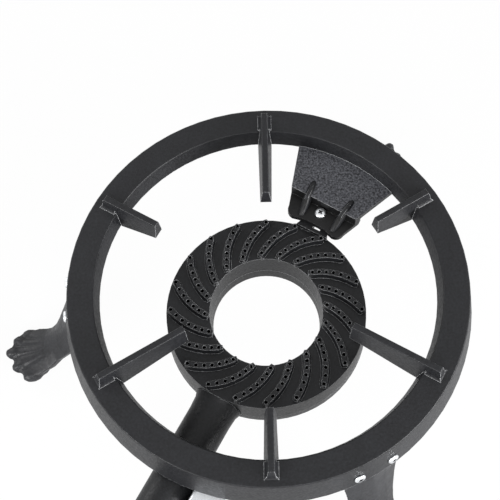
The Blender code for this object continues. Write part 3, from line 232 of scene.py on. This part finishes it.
def painted_cast_iron(name, dark, light, rubbed_and_highlit_edge, grain_mm, relief_mm, gloss, edge_mm,
                      bare_level=None, shade_at_pad=None):
    material, tree = new_material(name)
    coord = add(tree, "ShaderNodeTexCoord").outputs["Object"]
    per_grain = 1 / (grain_mm * MM)
    sand = add(tree, "ShaderNodeTexNoise", {"Vector": coord, "Scale": per_grain * 0.5, "Detail": 4.0,
                                            "Roughness": 0.60}).outputs["Fac"]
    pits = add(tree, "ShaderNodeTexVoronoi", {"Vector": coord, "Scale": per_grain * 0.45,
                                              "Randomness": 1.0}).outputs["Distance"]
    cloud = add(tree, "ShaderNodeTexNoise", {"Vector": coord, "Scale": 1 / CLOUD_SIZE, "Detail": 3.0,
                                             "Roughness": 0.5}).outputs["Fac"]
    grain = add(tree, "ShaderNodeMath", {0: sand, 1: pits}, operation="ADD").outputs[0]
    tone = add(tree, "ShaderNodeMath", {0: sand, 1: 0.70, 2: -0.10}, operation="MULTIPLY_ADD").outputs[0]
    tone = add(tree, "ShaderNodeMath", {0: cloud, 1: 0.30, 2: tone}, operation="MULTIPLY_ADD").outputs[0]
    ramp = add(tree, "ShaderNodeValToRGB", {"Fac": tone})
    stops(ramp, (0.22, linear(dark)), (0.60, linear(light)))
    skin = ramp.outputs[0]
    relief = relief_mm * MM
    if bare_level is not None:
        skin, relief = sand_skin(tree, coord, skin, relief, bare_level)

    true_normal = add(tree, "ShaderNodeNewGeometry").outputs["Normal"]
    rounded = add(tree, "ShaderNodeBevel", {"Radius": edge_mm * MM}, samples=6).outputs[0]
    agrees = add(tree, "ShaderNodeVectorMath", {0: rounded, 1: true_normal},
                 operation="DOT_PRODUCT").outputs["Value"]
    # Edge mask: rubbed paint, and a painted highlight on every edge whichever way it faces.
    edge_wear_and_highlight = add(tree, "ShaderNodeMapRange", {"Value": agrees, "From Min": EDGE_BEGINS, "From Max": EDGE_FULL,
                                            "To Min": 0.0, "To Max": 1.0}).outputs[0]
    patchy = add(tree, "ShaderNodeMath", {0: sand, 1: edge_wear_and_highlight}, operation="MULTIPLY").outputs[0]
    patchy = add(tree, "ShaderNodeMath", {0: patchy, 1: 1.5},
                 operation="MULTIPLY", use_clamp=True).outputs[0]
    colour = mixed_colour(tree, patchy, skin, linear(rubbed_and_highlit_edge))
    # painted shade round the pad under the tongue's plate
    if shade_at_pad is not None:
        colour = shade_painted_round_pad(tree, coord, colour, *shade_at_pad)

    satin = add(tree, "ShaderNodeMapRange", {"Value": grain, "From Min": 0.4, "From Max": 1.3,
                                             "To Min": gloss - 0.07, "To Max": gloss + 0.10}).outputs[0]
    satin = add(tree, "ShaderNodeMath", {0: edge_wear_and_highlight, 1: EDGE_POLISH, 2: satin},
                operation="MULTIPLY_ADD").outputs[0]
    fine = add(tree, "ShaderNodeBump", {"Strength": 1.0, "Distance": relief, "Height": grain,
                                        "Normal": rounded})
    broad = add(tree, "ShaderNodeBump", {"Strength": 0.5, "Distance": CLOUD_RELIEF, "Height": cloud,
                                         "Normal": fine.outputs[0]})
    paint = add(tree, "ShaderNodeBsdfPrincipled", {"Base Color": colour, "Roughness": satin,
                                                   "IOR": PAINT_IOR, "Normal": broad.outputs[0]})
    add(tree, "ShaderNodeOutputMaterial", {"Surface": paint.outputs[0]})
    return material


# %% Paint of each casting
TONGUE_AZIMUTH = 58.7
PLATE_LEVEL = RING_TOP - 17.5 * MM
PAD_LEVEL = RING_TOP - 30.0 * MM
TONGUE_TURN = Matrix.Rotation(math.radians(TONGUE_AZIMUTH), 4, "Z")
PAD_MIDDLE = RING_MIDDLE + TONGUE_TURN @ Vector((100.0, -2.0, -30.0)) * MM
# The painted shade round the pad and its step: its middle, its reach, and the level that it stays below.
PAD_PAINTED_SHADE = (PAD_MIDDLE, 44 * MM, PLATE_LEVEL - 1.0 * MM)

# The fourth colour is each casting's edge colour: rubbed paint, made pale as a painted highlight.
ring_paint = painted_cast_iron("satin_black_paint_on_ring_casting", "#101012", "#212225", "#b2b3b5",
                               grain_mm=1.3, relief_mm=0.11, gloss=0.42, edge_mm=0.9,
                               bare_level=PLATE_LEVEL, shade_at_pad=PAD_PAINTED_SHADE)
gusset_paint = painted_cast_iron("satin_black_paint_on_gussets", "#101012", "#222326", "#4a4b4e",
                                 grain_mm=1.3, relief_mm=0.08, gloss=0.42, edge_mm=0.3)
leg_paint = painted_cast_iron("satin_black_paint_on_leg_casting", "#141416", "#2a2b2e", "#77787b",
                              grain_mm=1.5, relief_mm=0.10, gloss=0.42, edge_mm=0.9)
burner_paint = painted_cast_iron("satin_black_paint_on_burner_casting", "#0a0a0b", "#1f2023", "#b4b5b7",
                                 grain_mm=1.1, relief_mm=0.14, gloss=0.40, edge_mm=0.6)
print("made", ", ".join(paint.name for paint in (ring_paint, gusset_paint, leg_paint, burner_paint)))


# %% [markdown]
# ### Zinc plate, brass and spring steel
# Bright zinc is a pale blue-grey metal with a soft shine. Tumbled screws carry fine scratches in every
# direction, which blur the reflection a little more in some places than in others. Turned brass and drawn
# spring wire scuff in the same way, so one function makes all three from their own colour and gloss. The
# metal in a screw's recess is the same, nearly black and dull: grime, and a painted shade for the recess.

# %% Scuffed metal
SCUFF_RELIEF = 0.02 * MM


def plated_metal(name, colour, shade, roughness, scratch_mm):
    material, tree = new_material(name)
    coord = add(tree, "ShaderNodeTexCoord").outputs["Object"]
    scuff = add(tree, "ShaderNodeTexNoise", {"Vector": coord, "Scale": 1 / (scratch_mm * MM), "Detail": 6.0,
                                             "Roughness": 0.7}).outputs["Fac"]
    ramp = add(tree, "ShaderNodeValToRGB", {"Fac": scuff})
    stops(ramp, (0.3, linear(shade)), (0.7, linear(colour)))
    rough = add(tree, "ShaderNodeMapRange", {"Value": scuff, "From Min": 0.3, "From Max": 0.7,
                                             "To Min": roughness - 0.06,
                                             "To Max": roughness + 0.10}).outputs[0]
    bump = add(tree, "ShaderNodeBump", {"Strength": 0.5, "Distance": SCUFF_RELIEF, "Height": scuff})
    metal = add(tree, "ShaderNodeBsdfPrincipled", {"Base Color": ramp.outputs[0], "Metallic": 1.0,
                                                   "Roughness": rough, "Normal": bump.outputs[0]})
    add(tree, "ShaderNodeOutputMaterial", {"Surface": metal.outputs[0]})
    return material


zinc = plated_metal("bright_zinc_plate", "#eef0f2", "#d4d7db", roughness=0.34, scratch_mm=1.5)
brass = plated_metal("turned_brass", "#d9b25c", "#b98d3c", roughness=0.26, scratch_mm=1.2)
# Dark, dull metal for the screws' recesses: grime and a painted shade.
recess_grime_and_shade = plated_metal("grime_and_painted_shade_in_screw_recess", "#2e2f31", "#1c1c1e", roughness=0.55, scratch_mm=0.8)
spring_wire = plated_metal("drawn_spring_steel", "#a9abae", "#86888b", roughness=0.34, scratch_mm=1.0)
print("made", ", ".join(metal.name for metal in (zinc, brass, recess_grime_and_shade, spring_wire)))

# %% [markdown]
# Each solid has a material slot in the record, and each slot has a finish. A few castings have a paint of
# their own under the same slot.

# %% Which finish goes where
FINISH = {"black_painted_cast_iron": ring_paint, "zinc_plated_steel": zinc, "brass": brass,
          "spring_steel": spring_wire}
OWN_FINISH = {"burner_head": burner_paint, "burner_base": burner_paint, "leg_left": leg_paint,
              "leg_front": leg_paint, "leg_rear": leg_paint}
record = frame["record"]
slot_of = {part["node"]: part["material_slot"] for part in record["subparts"]}
body_of = {node: body for body, members in record["behaviour"]["bodies"].items() for node in members}
print("slots:", sorted(set(slot_of.values())), "bodies:", sorted(set(body_of.values())))


# %% [markdown]
# ## Pieces that keep their solid's shape
# A solid arrives as loose flat triangles. A copy is welded, its flat faces are joined up again, and it is
# shaded smooth with weighted normals: the large faces stay flat and the narrow chamfers between them
# catch the light like the rounded edges of a casting.

# %% Welded copies
WELD = 0.01 * MM
FLAT_WITHIN = math.radians(0.6)
SHARP_OVER = math.radians(50)


def place_piece(piece, node):
    """A piece moves with the body of the solid that it belongs to."""
    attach(piece, body_of[node])


def shade_smooth(bm, sharp_over):
    for face in bm.faces:
        face.smooth = True
    for edge in bm.edges:
        edge.smooth = len(edge.link_faces) == 2 and edge.calc_face_angle(0.0) < sharp_over


def as_object(bm, name):
    mesh = bpy.data.meshes.new(name)
    bm.to_mesh(mesh)
    bm.free()
    made = bpy.data.objects.new(name, mesh)
    bpy.context.scene.collection.objects.link(made)
    return made


def welded(node):
    bm = bmesh.new()
    bm.from_mesh(nodes[node].data)
    bmesh.ops.remove_doubles(bm, verts=bm.verts, dist=WELD)
    bmesh.ops.dissolve_limit(bm, angle_limit=FLAT_WITHIN, verts=bm.verts, edges=bm.edges)
    shade_smooth(bm, SHARP_OVER)
    piece = as_object(bm, node + "_finished")
    piece.data.materials.append(OWN_FINISH.get(node, FINISH[slot_of[node]]))
    weigh = piece.modifiers.new("weighted normals", "WEIGHTED_NORMAL")
    weigh.keep_sharp = True
    weigh.weight = 60
    place_piece(piece, node)
    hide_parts(node)
    return piece


print("weld within", WELD, "m, sharp over", round(math.degrees(SHARP_OVER)), "degrees")


# %% [markdown]
# ### Legs with blended paws
# A cast paw has no sharp creases: the toes run into each other with small hollows, because the pattern
# was carved and the sand rounds it. Each toe could be sculpted. Here the welded leg is turned into an
# even fine mesh, swollen until the toes meet, and shrunk back: the gaps between the toes stay filled, as
# webs, and all else returns to its size. A few passes of smoothing then round every crease by about a
# millimetre, which is what the mould does.

# %% Webs between the toes
LEGS = ("leg_left", "leg_front", "leg_rear")
VOXEL = 1.2 * MM
TOE_WEB = 2.6 * MM


def even_mesh(piece, name):
    even = piece.modifiers.new(name, "REMESH")
    even.mode = "VOXEL"
    even.voxel_size = VOXEL
    even.use_smooth_shade = True


def swell(piece, name, distance):
    grow = piece.modifiers.new(name, "DISPLACE")
    grow.strength = distance
    grow.mid_level = 0.0


def soften(piece, name):
    soft = piece.modifiers.new(name, "SMOOTH")
    soft.factor = 0.5
    soft.iterations = 2


def settled_mesh(piece):
    """What a piece's modifiers make of it, as a mesh."""
    bpy.context.view_layer.update()
    return bpy.data.meshes.new_from_object(piece.evaluated_get(bpy.context.evaluated_depsgraph_get()))


def webbed_leg(node):
    """A leg whose narrow gaps are filled by swelling it and shrinking it back, then smoothed."""
    piece = welded(node)
    piece.modifiers.clear()
    even_mesh(piece, "even mesh")
    swell(piece, "swell over the gaps", TOE_WEB)
    even_mesh(piece, "join what met")
    swell(piece, "shrink back", -TOE_WEB)
    soften(piece, "rounded creases")
    mesh = settled_mesh(piece)
    piece.modifiers.clear()
    piece.data = mesh
    return piece


legs = {node: webbed_leg(node) for node in LEGS}
print("legs:", {node: len(leg.data.vertices) for node, leg in legs.items()})

# %% [markdown]
# Long hollows run back from between the toes and fade out towards the ankle, like the grooves between the
# bones of a hand. They could be cut with four long tools. It is simpler to press them in: each point of
# the paw's top sinks by how near it is to a flute's middle line. The lines are given from the paw's
# middle, as distances out and beside, and every leg is the same casting, turned.

# %% Flutes behind the toes
LEG_AZIMUTHS = {"leg_left": 180.0, "leg_front": 299.3, "leg_rear": 58.7}
PAW_REACH = 266.0 * MM       # the paw's middle, from the ring's
PAW_EXTENT = 48 * MM
TOPSIDE_OVER = 0.05
# Each flute's front end and back end: (out, beside), in millimetres.
FLUTES = (
    ((26.0, -17.5), (-16.0, -7.0)),
    ((36.0, -5.5), (-18.0, -2.0)),
    ((35.0, 9.5), (-18.0, 4.0)),
    ((22.0, 24.5), (-16.0, 9.5)),
)
FLUTE_WIDTH = (3.4 * MM, 2.2 * MM)   # half width at the front and the back
FLUTE_DEPTH = (2.3 * MM, 0.0)


def between(ends, share):
    return ends[0] + (ends[1] - ends[0]) * share


def flute_depth(spot, front, back):
    """How far a flute sinks a spot, both seen from above."""
    run = back - front
    share = min(max((spot - front).dot(run) / run.length_squared, 0.0), 1.0)
    beside = (spot - front - run * share).length / between(FLUTE_WIDTH, share)
    return between(FLUTE_DEPTH, share) * (1 - beside ** 2) ** 2 if beside < 1.0 else 0.0


def press_flutes(mesh, azimuth):
    unturn = Matrix.Rotation(-math.radians(azimuth), 3, "Z")
    lines = [(Vector(front) * MM, Vector(back) * MM) for front, back in FLUTES]
    centre = Vector((RING_MIDDLE.x, RING_MIDDLE.y, 0))
    pressed = 0
    for vert in mesh.vertices:
        flat = unturn @ (vert.co - centre)
        spot = Vector((flat.x - PAW_REACH, flat.y))
        if spot.length > PAW_EXTENT or vert.normal.z < TOPSIDE_OVER:
            continue
        depth = max(flute_depth(spot, front, back) for front, back in lines)
        if depth:
            vert.co -= vert.normal * depth
            pressed += 1
    return pressed


for node, leg in legs.items():
    print(node, "points pressed:", press_flutes(leg.data, LEG_AZIMUTHS[node]))
    soften(leg, "softened flutes")


# %% [markdown]
# ### Cross-recess pan heads
# The screws are zinc-plated pan heads with a cross recess: a low dome with a rounded rim, and a cross
# that is cut deeper in the middle, coloured nearly black as grime and a painted shade. The head could be
# sculpted from a sphere. Here half of the screw's outline is spun round its axis, as it would be turned, and
# the cross is cut with a Boolean from two tapered bars. Each screw is made to its own solid's length.

# %% A finished screw
SPIN_STEPS = 32
RECESS_REACH, RECESS_WIDTH, RECESS_DEPTH = 0.56, 0.34, 0.75   # shares of the head's radius and height
RECESS_TAPER = (0.55, 0.75)                                   # along and across each bar
GRIME_AND_SHADE_REACH, GRIME_AND_SHADE_FROM, GRIME_AND_SHADE_TO = 0.60, -0.10, -0.90
SCREW_SHARP_OVER = math.radians(40)


def recess_cutter(reach, width, depth):
    bm = bmesh.new()
    for turned in (0.0, math.pi / 2):
        bar = bmesh.ops.create_cube(bm, size=1.0)["verts"]
        bmesh.ops.scale(bm, verts=bar, vec=(reach * 2, width, depth * 2))
        bmesh.ops.scale(bm, verts=[vert for vert in bar if vert.co.z < 0], vec=(*RECESS_TAPER, 1))
        bmesh.ops.rotate(bm, verts=bar, cent=(0, 0, 0), matrix=Matrix.Rotation(turned, 3, "Z"))
    bmesh.ops.recalc_face_normals(bm, faces=bm.faces)
    return bm


def turned_blank(shank_r, head_r, head, length):
    """The screw without its recess: the top of its head at the origin, pointing along +Z."""
    half = (
        (0.0, 0.0),
        (head_r * 0.55, -head * 0.04),
        (head_r * 0.80, -head * 0.16),
        (head_r * 0.94, -head * 0.40),
        (head_r, -head * 0.72),
        (head_r * 0.98, -head),
        (shank_r, -head),
        (shank_r, -length + shank_r * 0.4),
        (shank_r * 0.6, -length),
        (0.0, -length),
    )
    bm = bmesh.new()
    chain = [bm.verts.new((radius, 0.0, level)) for radius, level in half]
    edges = [bm.edges.new(pair) for pair in zip(chain, chain[1:])]
    bmesh.ops.spin(bm, geom=chain + edges, axis=(0, 0, 1), cent=(0, 0, 0), steps=SPIN_STEPS, angle=math.tau,
                   use_merge=True, use_duplicate=False)
    bmesh.ops.remove_doubles(bm, verts=bm.verts, dist=WELD)
    bmesh.ops.recalc_face_normals(bm, faces=bm.faces)
    return bm


def cross_head_screw(shank_r, head_r, head, length):
    blank = as_object(turned_blank(shank_r, head_r, head, length), "screw_blank")
    cross = recess_cutter(head_r * RECESS_REACH, head_r * RECESS_WIDTH, head * RECESS_DEPTH)
    cutter = as_object(cross, "recess_cutter")
    cut = blank.modifiers.new("cross recess", "BOOLEAN")
    cut.operation = "DIFFERENCE"
    cut.solver = "EXACT"
    cut.use_self = True
    cut.object = cutter
    mesh = settled_mesh(blank)
    bm = bmesh.new()
    bm.from_mesh(mesh)
    bpy.data.meshes.remove(mesh)
    bpy.data.objects.remove(blank, do_unlink=True)
    bpy.data.objects.remove(cutter, do_unlink=True)
    bmesh.ops.remove_doubles(bm, verts=bm.verts, dist=WELD)
    shade_smooth(bm, SCREW_SHARP_OVER)
    # Faces inside the cross take the dark second material: grime and a painted shade in the recess.
    for face in bm.faces:
        middle = face.calc_center_median()
        in_recess = (middle.xy.length < head_r * GRIME_AND_SHADE_REACH
                     and head * GRIME_AND_SHADE_TO < middle.z < head * GRIME_AND_SHADE_FROM)
        face.material_index = 1 if in_recess else 0
    return bm


# %% [markdown]
# A screw's place is read from the solid that it stands for: the top of that solid's head lies farthest
# along the screw's direction. The legs' screws stand square to the ring's flared skirt, the tongue's
# points up, those of the base and the hanger point down, and those of the mouth's plate lie along the
# tube. Each stops at its own angle when it is tightened, so the crosses aren't lined up.

# %% Screws in their places
M6_R, M6_HEAD_R, M6_HEAD = 3.0 * MM, 6.0 * MM, 3.6 * MM
M5_R, M5_HEAD_R, M5_HEAD = 2.5 * MM, 4.7 * MM, 3.0 * MM
LEG_HEAD_R = M6_HEAD_R * 0.96
LEG_HEAD_LOW = 0.9 * MM      # the legs' screws have lower heads
SKIRT_LEAN, SKIRT_HEIGHT = 7.0, 39.5
SKIRT_TILT = math.atan2(SKIRT_LEAN, SKIRT_HEIGHT)
TUBE_AXIS = Vector(record["behaviour"]["joints"][0]["axis"])
UP = Vector((0, 0, 1))
STOP_FROM, STOP_PER_LETTER, STOP_PER_METRE = 0.4, 1.7, 31   # any numbers that give each screw its own angle


def spread(node, along):
    """The solid's farthest point along a direction, and its length that way."""
    points = [vert.co for vert in nodes[node].data.vertices]
    far = max(points, key=lambda point: point.dot(along))
    return far, far.dot(along) - min(point.dot(along) for point in points)


def square_to_skirt(point):
    level = Vector((point.x - RING_MIDDLE.x, point.y - RING_MIDDLE.y, 0)).normalized()
    return level * math.cos(SKIRT_TILT) + UP * math.sin(SKIRT_TILT)


def leg_screw_direction(node):
    low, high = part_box(node)
    rough = square_to_skirt((low + high) / 2)
    return square_to_skirt(spread(node, rough)[0])


def fitted_screw(node, along, shank_r, head_r, head, low_by=0.0):
    """A finished screw in place of the solid's, its head along a direction and low_by nearer its seat."""
    pole, length = spread(node, along)
    tip = pole - along * low_by
    stopped_at = STOP_FROM + len(node) * STOP_PER_LETTER + tip.x * STOP_PER_METRE
    bm = cross_head_screw(shank_r, head_r, head, length - low_by)
    turned = Matrix.Translation(tip) @ along.to_track_quat("Z", "Y").to_matrix().to_4x4()
    bmesh.ops.transform(bm, verts=bm.verts, matrix=turned @ Matrix.Rotation(stopped_at, 4, "Z"))
    piece = as_object(bm, node + "_finished")
    piece.data.materials.append(zinc)
    piece.data.materials.append(recess_grime_and_shade)
    place_piece(piece, node)
    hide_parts(node)


screws = sorted(node for node in nodes if "_screw" in node)
for node in screws:
    if node.startswith("leg"):
        fitted_screw(node, leg_screw_direction(node), M6_R, LEG_HEAD_R, M6_HEAD - LEG_HEAD_LOW, LEG_HEAD_LOW)
    elif node.startswith("tongue"):
        fitted_screw(node, UP, M6_R, M6_HEAD_R, M6_HEAD)
    elif node.startswith("hanger"):
        fitted_screw(node, -UP, M6_R, M6_HEAD_R, M6_HEAD)
    elif node.startswith("burner_base"):
        fitted_screw(node, -UP, M5_R, M5_HEAD_R, M5_HEAD)
    else:
        fitted_screw(node, TUBE_AXIS, M5_R, M5_HEAD_R, M5_HEAD)
print("screws:", len(screws))


# %% [markdown]
# ### Rounded gussets on the tongue
# Two cast gussets run from the tongue's plate down on to the pad with the screw. They are fat in the
# middle and fade out at both ends, like a thumb pressed into the sand. A straight web would look cut from
# sheet. Here a four-sided section is bridged through a few stations, and a subdivision surface rounds it.

# %% Gussets
# Each gusset's outer and inner end: (along the tongue, sideways), in millimetres.
GUSSET_ENDS = (((131.0, 20.2), (95.5, 16.3)), ((131.0, -25.2), (95.5, -20.0)))
BURIED = 3 * MM
# Share of the way; half width of the base and of the crest, in millimetres; level of the base and the crest.
GUSSET_STATIONS = (
    (-0.08, 2.0, 1.4, PLATE_LEVEL - 2.5 * MM, PLATE_LEVEL - 0.6 * MM),
    (0.07, 4.4, 3.4, PLATE_LEVEL - BURIED, PLATE_LEVEL + 4.2 * MM),
    (0.46, 5.7, 4.3, PAD_LEVEL - BURIED, PLATE_LEVEL + 4.2 * MM),
    (0.78, 5.3, 3.5, PAD_LEVEL - BURIED, PAD_LEVEL + 6.8 * MM),
    (1.04, 4.4, 2.0, PAD_LEVEL - BURIED, PAD_LEVEL + 1.6 * MM),
)


def gusset(start, end):
    start, end = Vector((*start, 0)) * MM, Vector((*end, 0)) * MM
    along = (end - start).normalized()
    across = Vector((-along.y, along.x, 0))
    bm = bmesh.new()
    rows = []
    for share, base, crest, low, high in GUSSET_STATIONS:
        middle = start + (end - start) * share
        section = ((-base, low), (base, low), (crest, high), (-crest, high))
        ring = []
        for sideways, level in section:
            corner = middle + across * sideways * MM
            ring.append(bm.verts.new((corner.x, corner.y, level)))
        rows.append([bm.edges.new((ring[i], ring[(i + 1) % 4])) for i in range(4)])
    for first, second in zip(rows, rows[1:]):
        bmesh.ops.bridge_loops(bm, edges=first + second)
    bmesh.ops.holes_fill(bm, edges=bm.edges, sides=4)
    bmesh.ops.recalc_face_normals(bm, faces=bm.faces)
    to_place = Matrix.Translation((RING_MIDDLE.x, RING_MIDDLE.y, 0)) @ TONGUE_TURN
    bmesh.ops.transform(bm, verts=bm.verts, matrix=to_place)
    for face in bm.faces:
        face.smooth = True
    return bm


for number, (start, end) in enumerate(GUSSET_ENDS, 1):
    web = as_object(gusset(start, end), f"tongue_gusset_{number}_finished")
    web.data.materials.append(gusset_paint)
    round_off = web.modifiers.new("rounded", "SUBSURF")
    round_off.levels = 2
    round_off.render_levels = 2
    place_piece(web, "ring_frame")
print("gussets:", len(GUSSET_ENDS))

# %% [markdown]
# ### The other pieces
# The ring, the burner, the sheet steel, the nuts and the brass keep their solids' shapes. They could be
# modelled again, but their solids already have every edge, so each is a welded copy with its finish.

# %% The rest, as welded copies
own_shape = {node for node in nodes if node in LEGS or "_screw" in node}
kept = {node: welded(node) for node in sorted(nodes) if node not in own_shape}
print("welded copies:", len(kept))

# %% [markdown]
# ### Burner ports
# Heat burns the paint off round each drilled port and rounds its mouth, so the ports look a little wider
# than the drill. Each mouth could be cut again. Here the points of the burner's copy that lie on a port's
# wall move outwards by a share of its radius. The ports sit on 20 ribs, and each rib is an arc that
# swings across the burner's top.

# %% Port places
RIBS, PORTS_PER_RIB = 20, 7
RIB_ARC_R, RIB_ARC_AT = 68.0, 62.0           # each rib's arc and its centre's distance, in millimetres
FIRST_PORT_AT, LAST_PORT_AT = 62.5, 97.3
LAST_PORT_AZIMUTH = 287.0
base_low, base_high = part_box("burner_base")
BURNER_MIDDLE = Vector(((base_low.x + base_high.x) / 2, (base_low.y + base_high.y) / 2))


def rib_swing(radius):
    """Degrees from the rib's arc centre to where the arc passes this radius."""
    cosine = (radius ** 2 + RIB_ARC_AT ** 2 - RIB_ARC_R ** 2) / (2 * radius * RIB_ARC_AT)
    return math.degrees(math.acos(cosine))


def port_place(rib, port):
    radius = FIRST_PORT_AT + (LAST_PORT_AT - FIRST_PORT_AT) * port / (PORTS_PER_RIB - 1)
    swing = rib_swing(radius) - rib_swing(LAST_PORT_AT)
    angle = math.radians(LAST_PORT_AZIMUTH + swing + 360 / RIBS * rib)
    return BURNER_MIDDLE + Vector((math.cos(angle), math.sin(angle))) * radius * MM


ports = [port_place(rib, port) for rib in range(RIBS) for port in range(PORTS_PER_RIB)]
print("burner middle:", [round(v, 5) for v in BURNER_MIDDLE], "ports:", len(ports))

# %% Wider ports
DRILL_R = 1.7 * MM
WIDER = 1.22
PORTS_ABOVE = RING_TOP - 55 * MM
finder = kdtree.KDTree(len(ports))
for index, port in enumerate(ports):
    finder.insert((*port, 0), index)
finder.balance()
widened = 0
for vert in kept["burner_head"].data.vertices:
    port, _, away = finder.find((vert.co.x, vert.co.y, 0))
    if vert.co.z > PORTS_ABOVE and away < DRILL_R * 1.05:
        vert.co.x = port.x + (vert.co.x - port.x) * WIDER
        vert.co.y = port.y + (vert.co.y - port.y) * WIDER
        widened += 1
print("points moved:", widened)

# %% [markdown]
# ## Floor and light
# The floor is a plain pale sheet. To the camera, and in gloss, it is white wherever the stand doesn't
# shade it; the stand's own shadow stays faintly on it.

# %% Floor
FLOOR_GAP = 0.2 * MM
FLOOR_HALF = 6.0
FLOOR_WHITE = 0.95           # the rest of what the camera sees there is the shaded sheet
bm = bmesh.new()
bmesh.ops.create_grid(bm, x_segments=1, y_segments=1, size=FLOOR_HALF)
floor = as_object(bm, "floor")
floor.location.z = -FLOOR_GAP
floor_paint, tree = new_material("matt_white_floor")
matt = add(tree, "ShaderNodeBsdfDiffuse", {"Color": linear("#e9e9e9")})
glow = add(tree, "ShaderNodeEmission", {"Color": linear("#ffffff"), "Strength": 1.0})
ray = add(tree, "ShaderNodeLightPath")
seen = add(tree, "ShaderNodeMath", {0: ray.outputs["Is Camera Ray"], 1: ray.outputs["Is Glossy Ray"]},
           operation="MAXIMUM")
share = add(tree, "ShaderNodeMath", {0: seen.outputs[0], 1: FLOOR_WHITE}, operation="MULTIPLY")
mix = add(tree, "ShaderNodeMixShader", {"Fac": share.outputs[0], 1: matt.outputs[0], 2: glow.outputs[0]})
add(tree, "ShaderNodeOutputMaterial", {"Surface": mix.outputs[0]})
floor.data.materials.append(floor_paint)
print("floor:", FLOOR_HALF * 2, "m wide")

# %% [markdown]
# The studio is white to the camera and in gloss, so that the zinc has something pale to mirror, but it
# lights the stand only softly.

# %% World
STUDIO_LIGHT = 0.30
world = bpy.data.worlds.new("studio")
world.use_nodes = True
bpy.context.scene.world = world
tree = world.node_tree
tree.nodes.clear()
ray = add(tree, "ShaderNodeLightPath")
dim = add(tree, "ShaderNodeBackground", {"Color": linear("#ffffff"), "Strength": STUDIO_LIGHT})
bright = add(tree, "ShaderNodeBackground", {"Color": linear("#ffffff"), "Strength": 1.0})
direct = add(tree, "ShaderNodeMath", {0: ray.outputs["Is Camera Ray"], 1: ray.outputs["Is Glossy Ray"]},
             operation="MAXIMUM")
direct = add(tree, "ShaderNodeMath", {0: direct.outputs[0], 1: ray.outputs["Is Transmission Ray"]},
             operation="MAXIMUM")
pick = add(tree, "ShaderNodeMixShader", {"Fac": direct.outputs[0], 1: dim.outputs[0], 2: bright.outputs[0]})
add(tree, "ShaderNodeOutputWorld", {"Surface": pick.outputs[0]})
print("studio light:", STUDIO_LIGHT)


# %% [markdown]
# Black iron shows its shape by what it mirrors. Low softboxes to the right and the left draw the lines
# along the prongs, the ribs and the skirt, one in front fills, and none stands where the ring's flat top
# would mirror it, so the top stays dark.

# %% Lights
def softbox(name, place, aim, size, power):
    data = bpy.data.lights.new(name, "AREA")
    data.shape = "RECTANGLE"
    data.size, data.size_y = size
    data.energy = power
    lamp = bpy.data.objects.new(name, data)
    bpy.context.scene.collection.objects.link(lamp)
    lamp.location = place
    lamp.rotation_euler = (Vector(aim) - Vector(place)).to_track_quat("-Z", "Y").to_euler()


softbox("right_box", (1.9, -1.1, 0.66), (0.05, 0, 0.15), (1.5, 0.8), 100)
softbox("left_box", (-1.6, -1.4, 0.66), (0, 0, 0.15), (1.2, 0.7), 44)
softbox("front_box", (-0.1, -1.9, 1.9), (0, 0, 0.1), (1.6, 1.0), 22)
softbox("rear_left_box", (-1.5, 1.3, 1.1), (0, 0, 0.15), (1.0, 0.8), 14)
scene = bpy.context.scene
scene.view_settings.view_transform = "Standard"
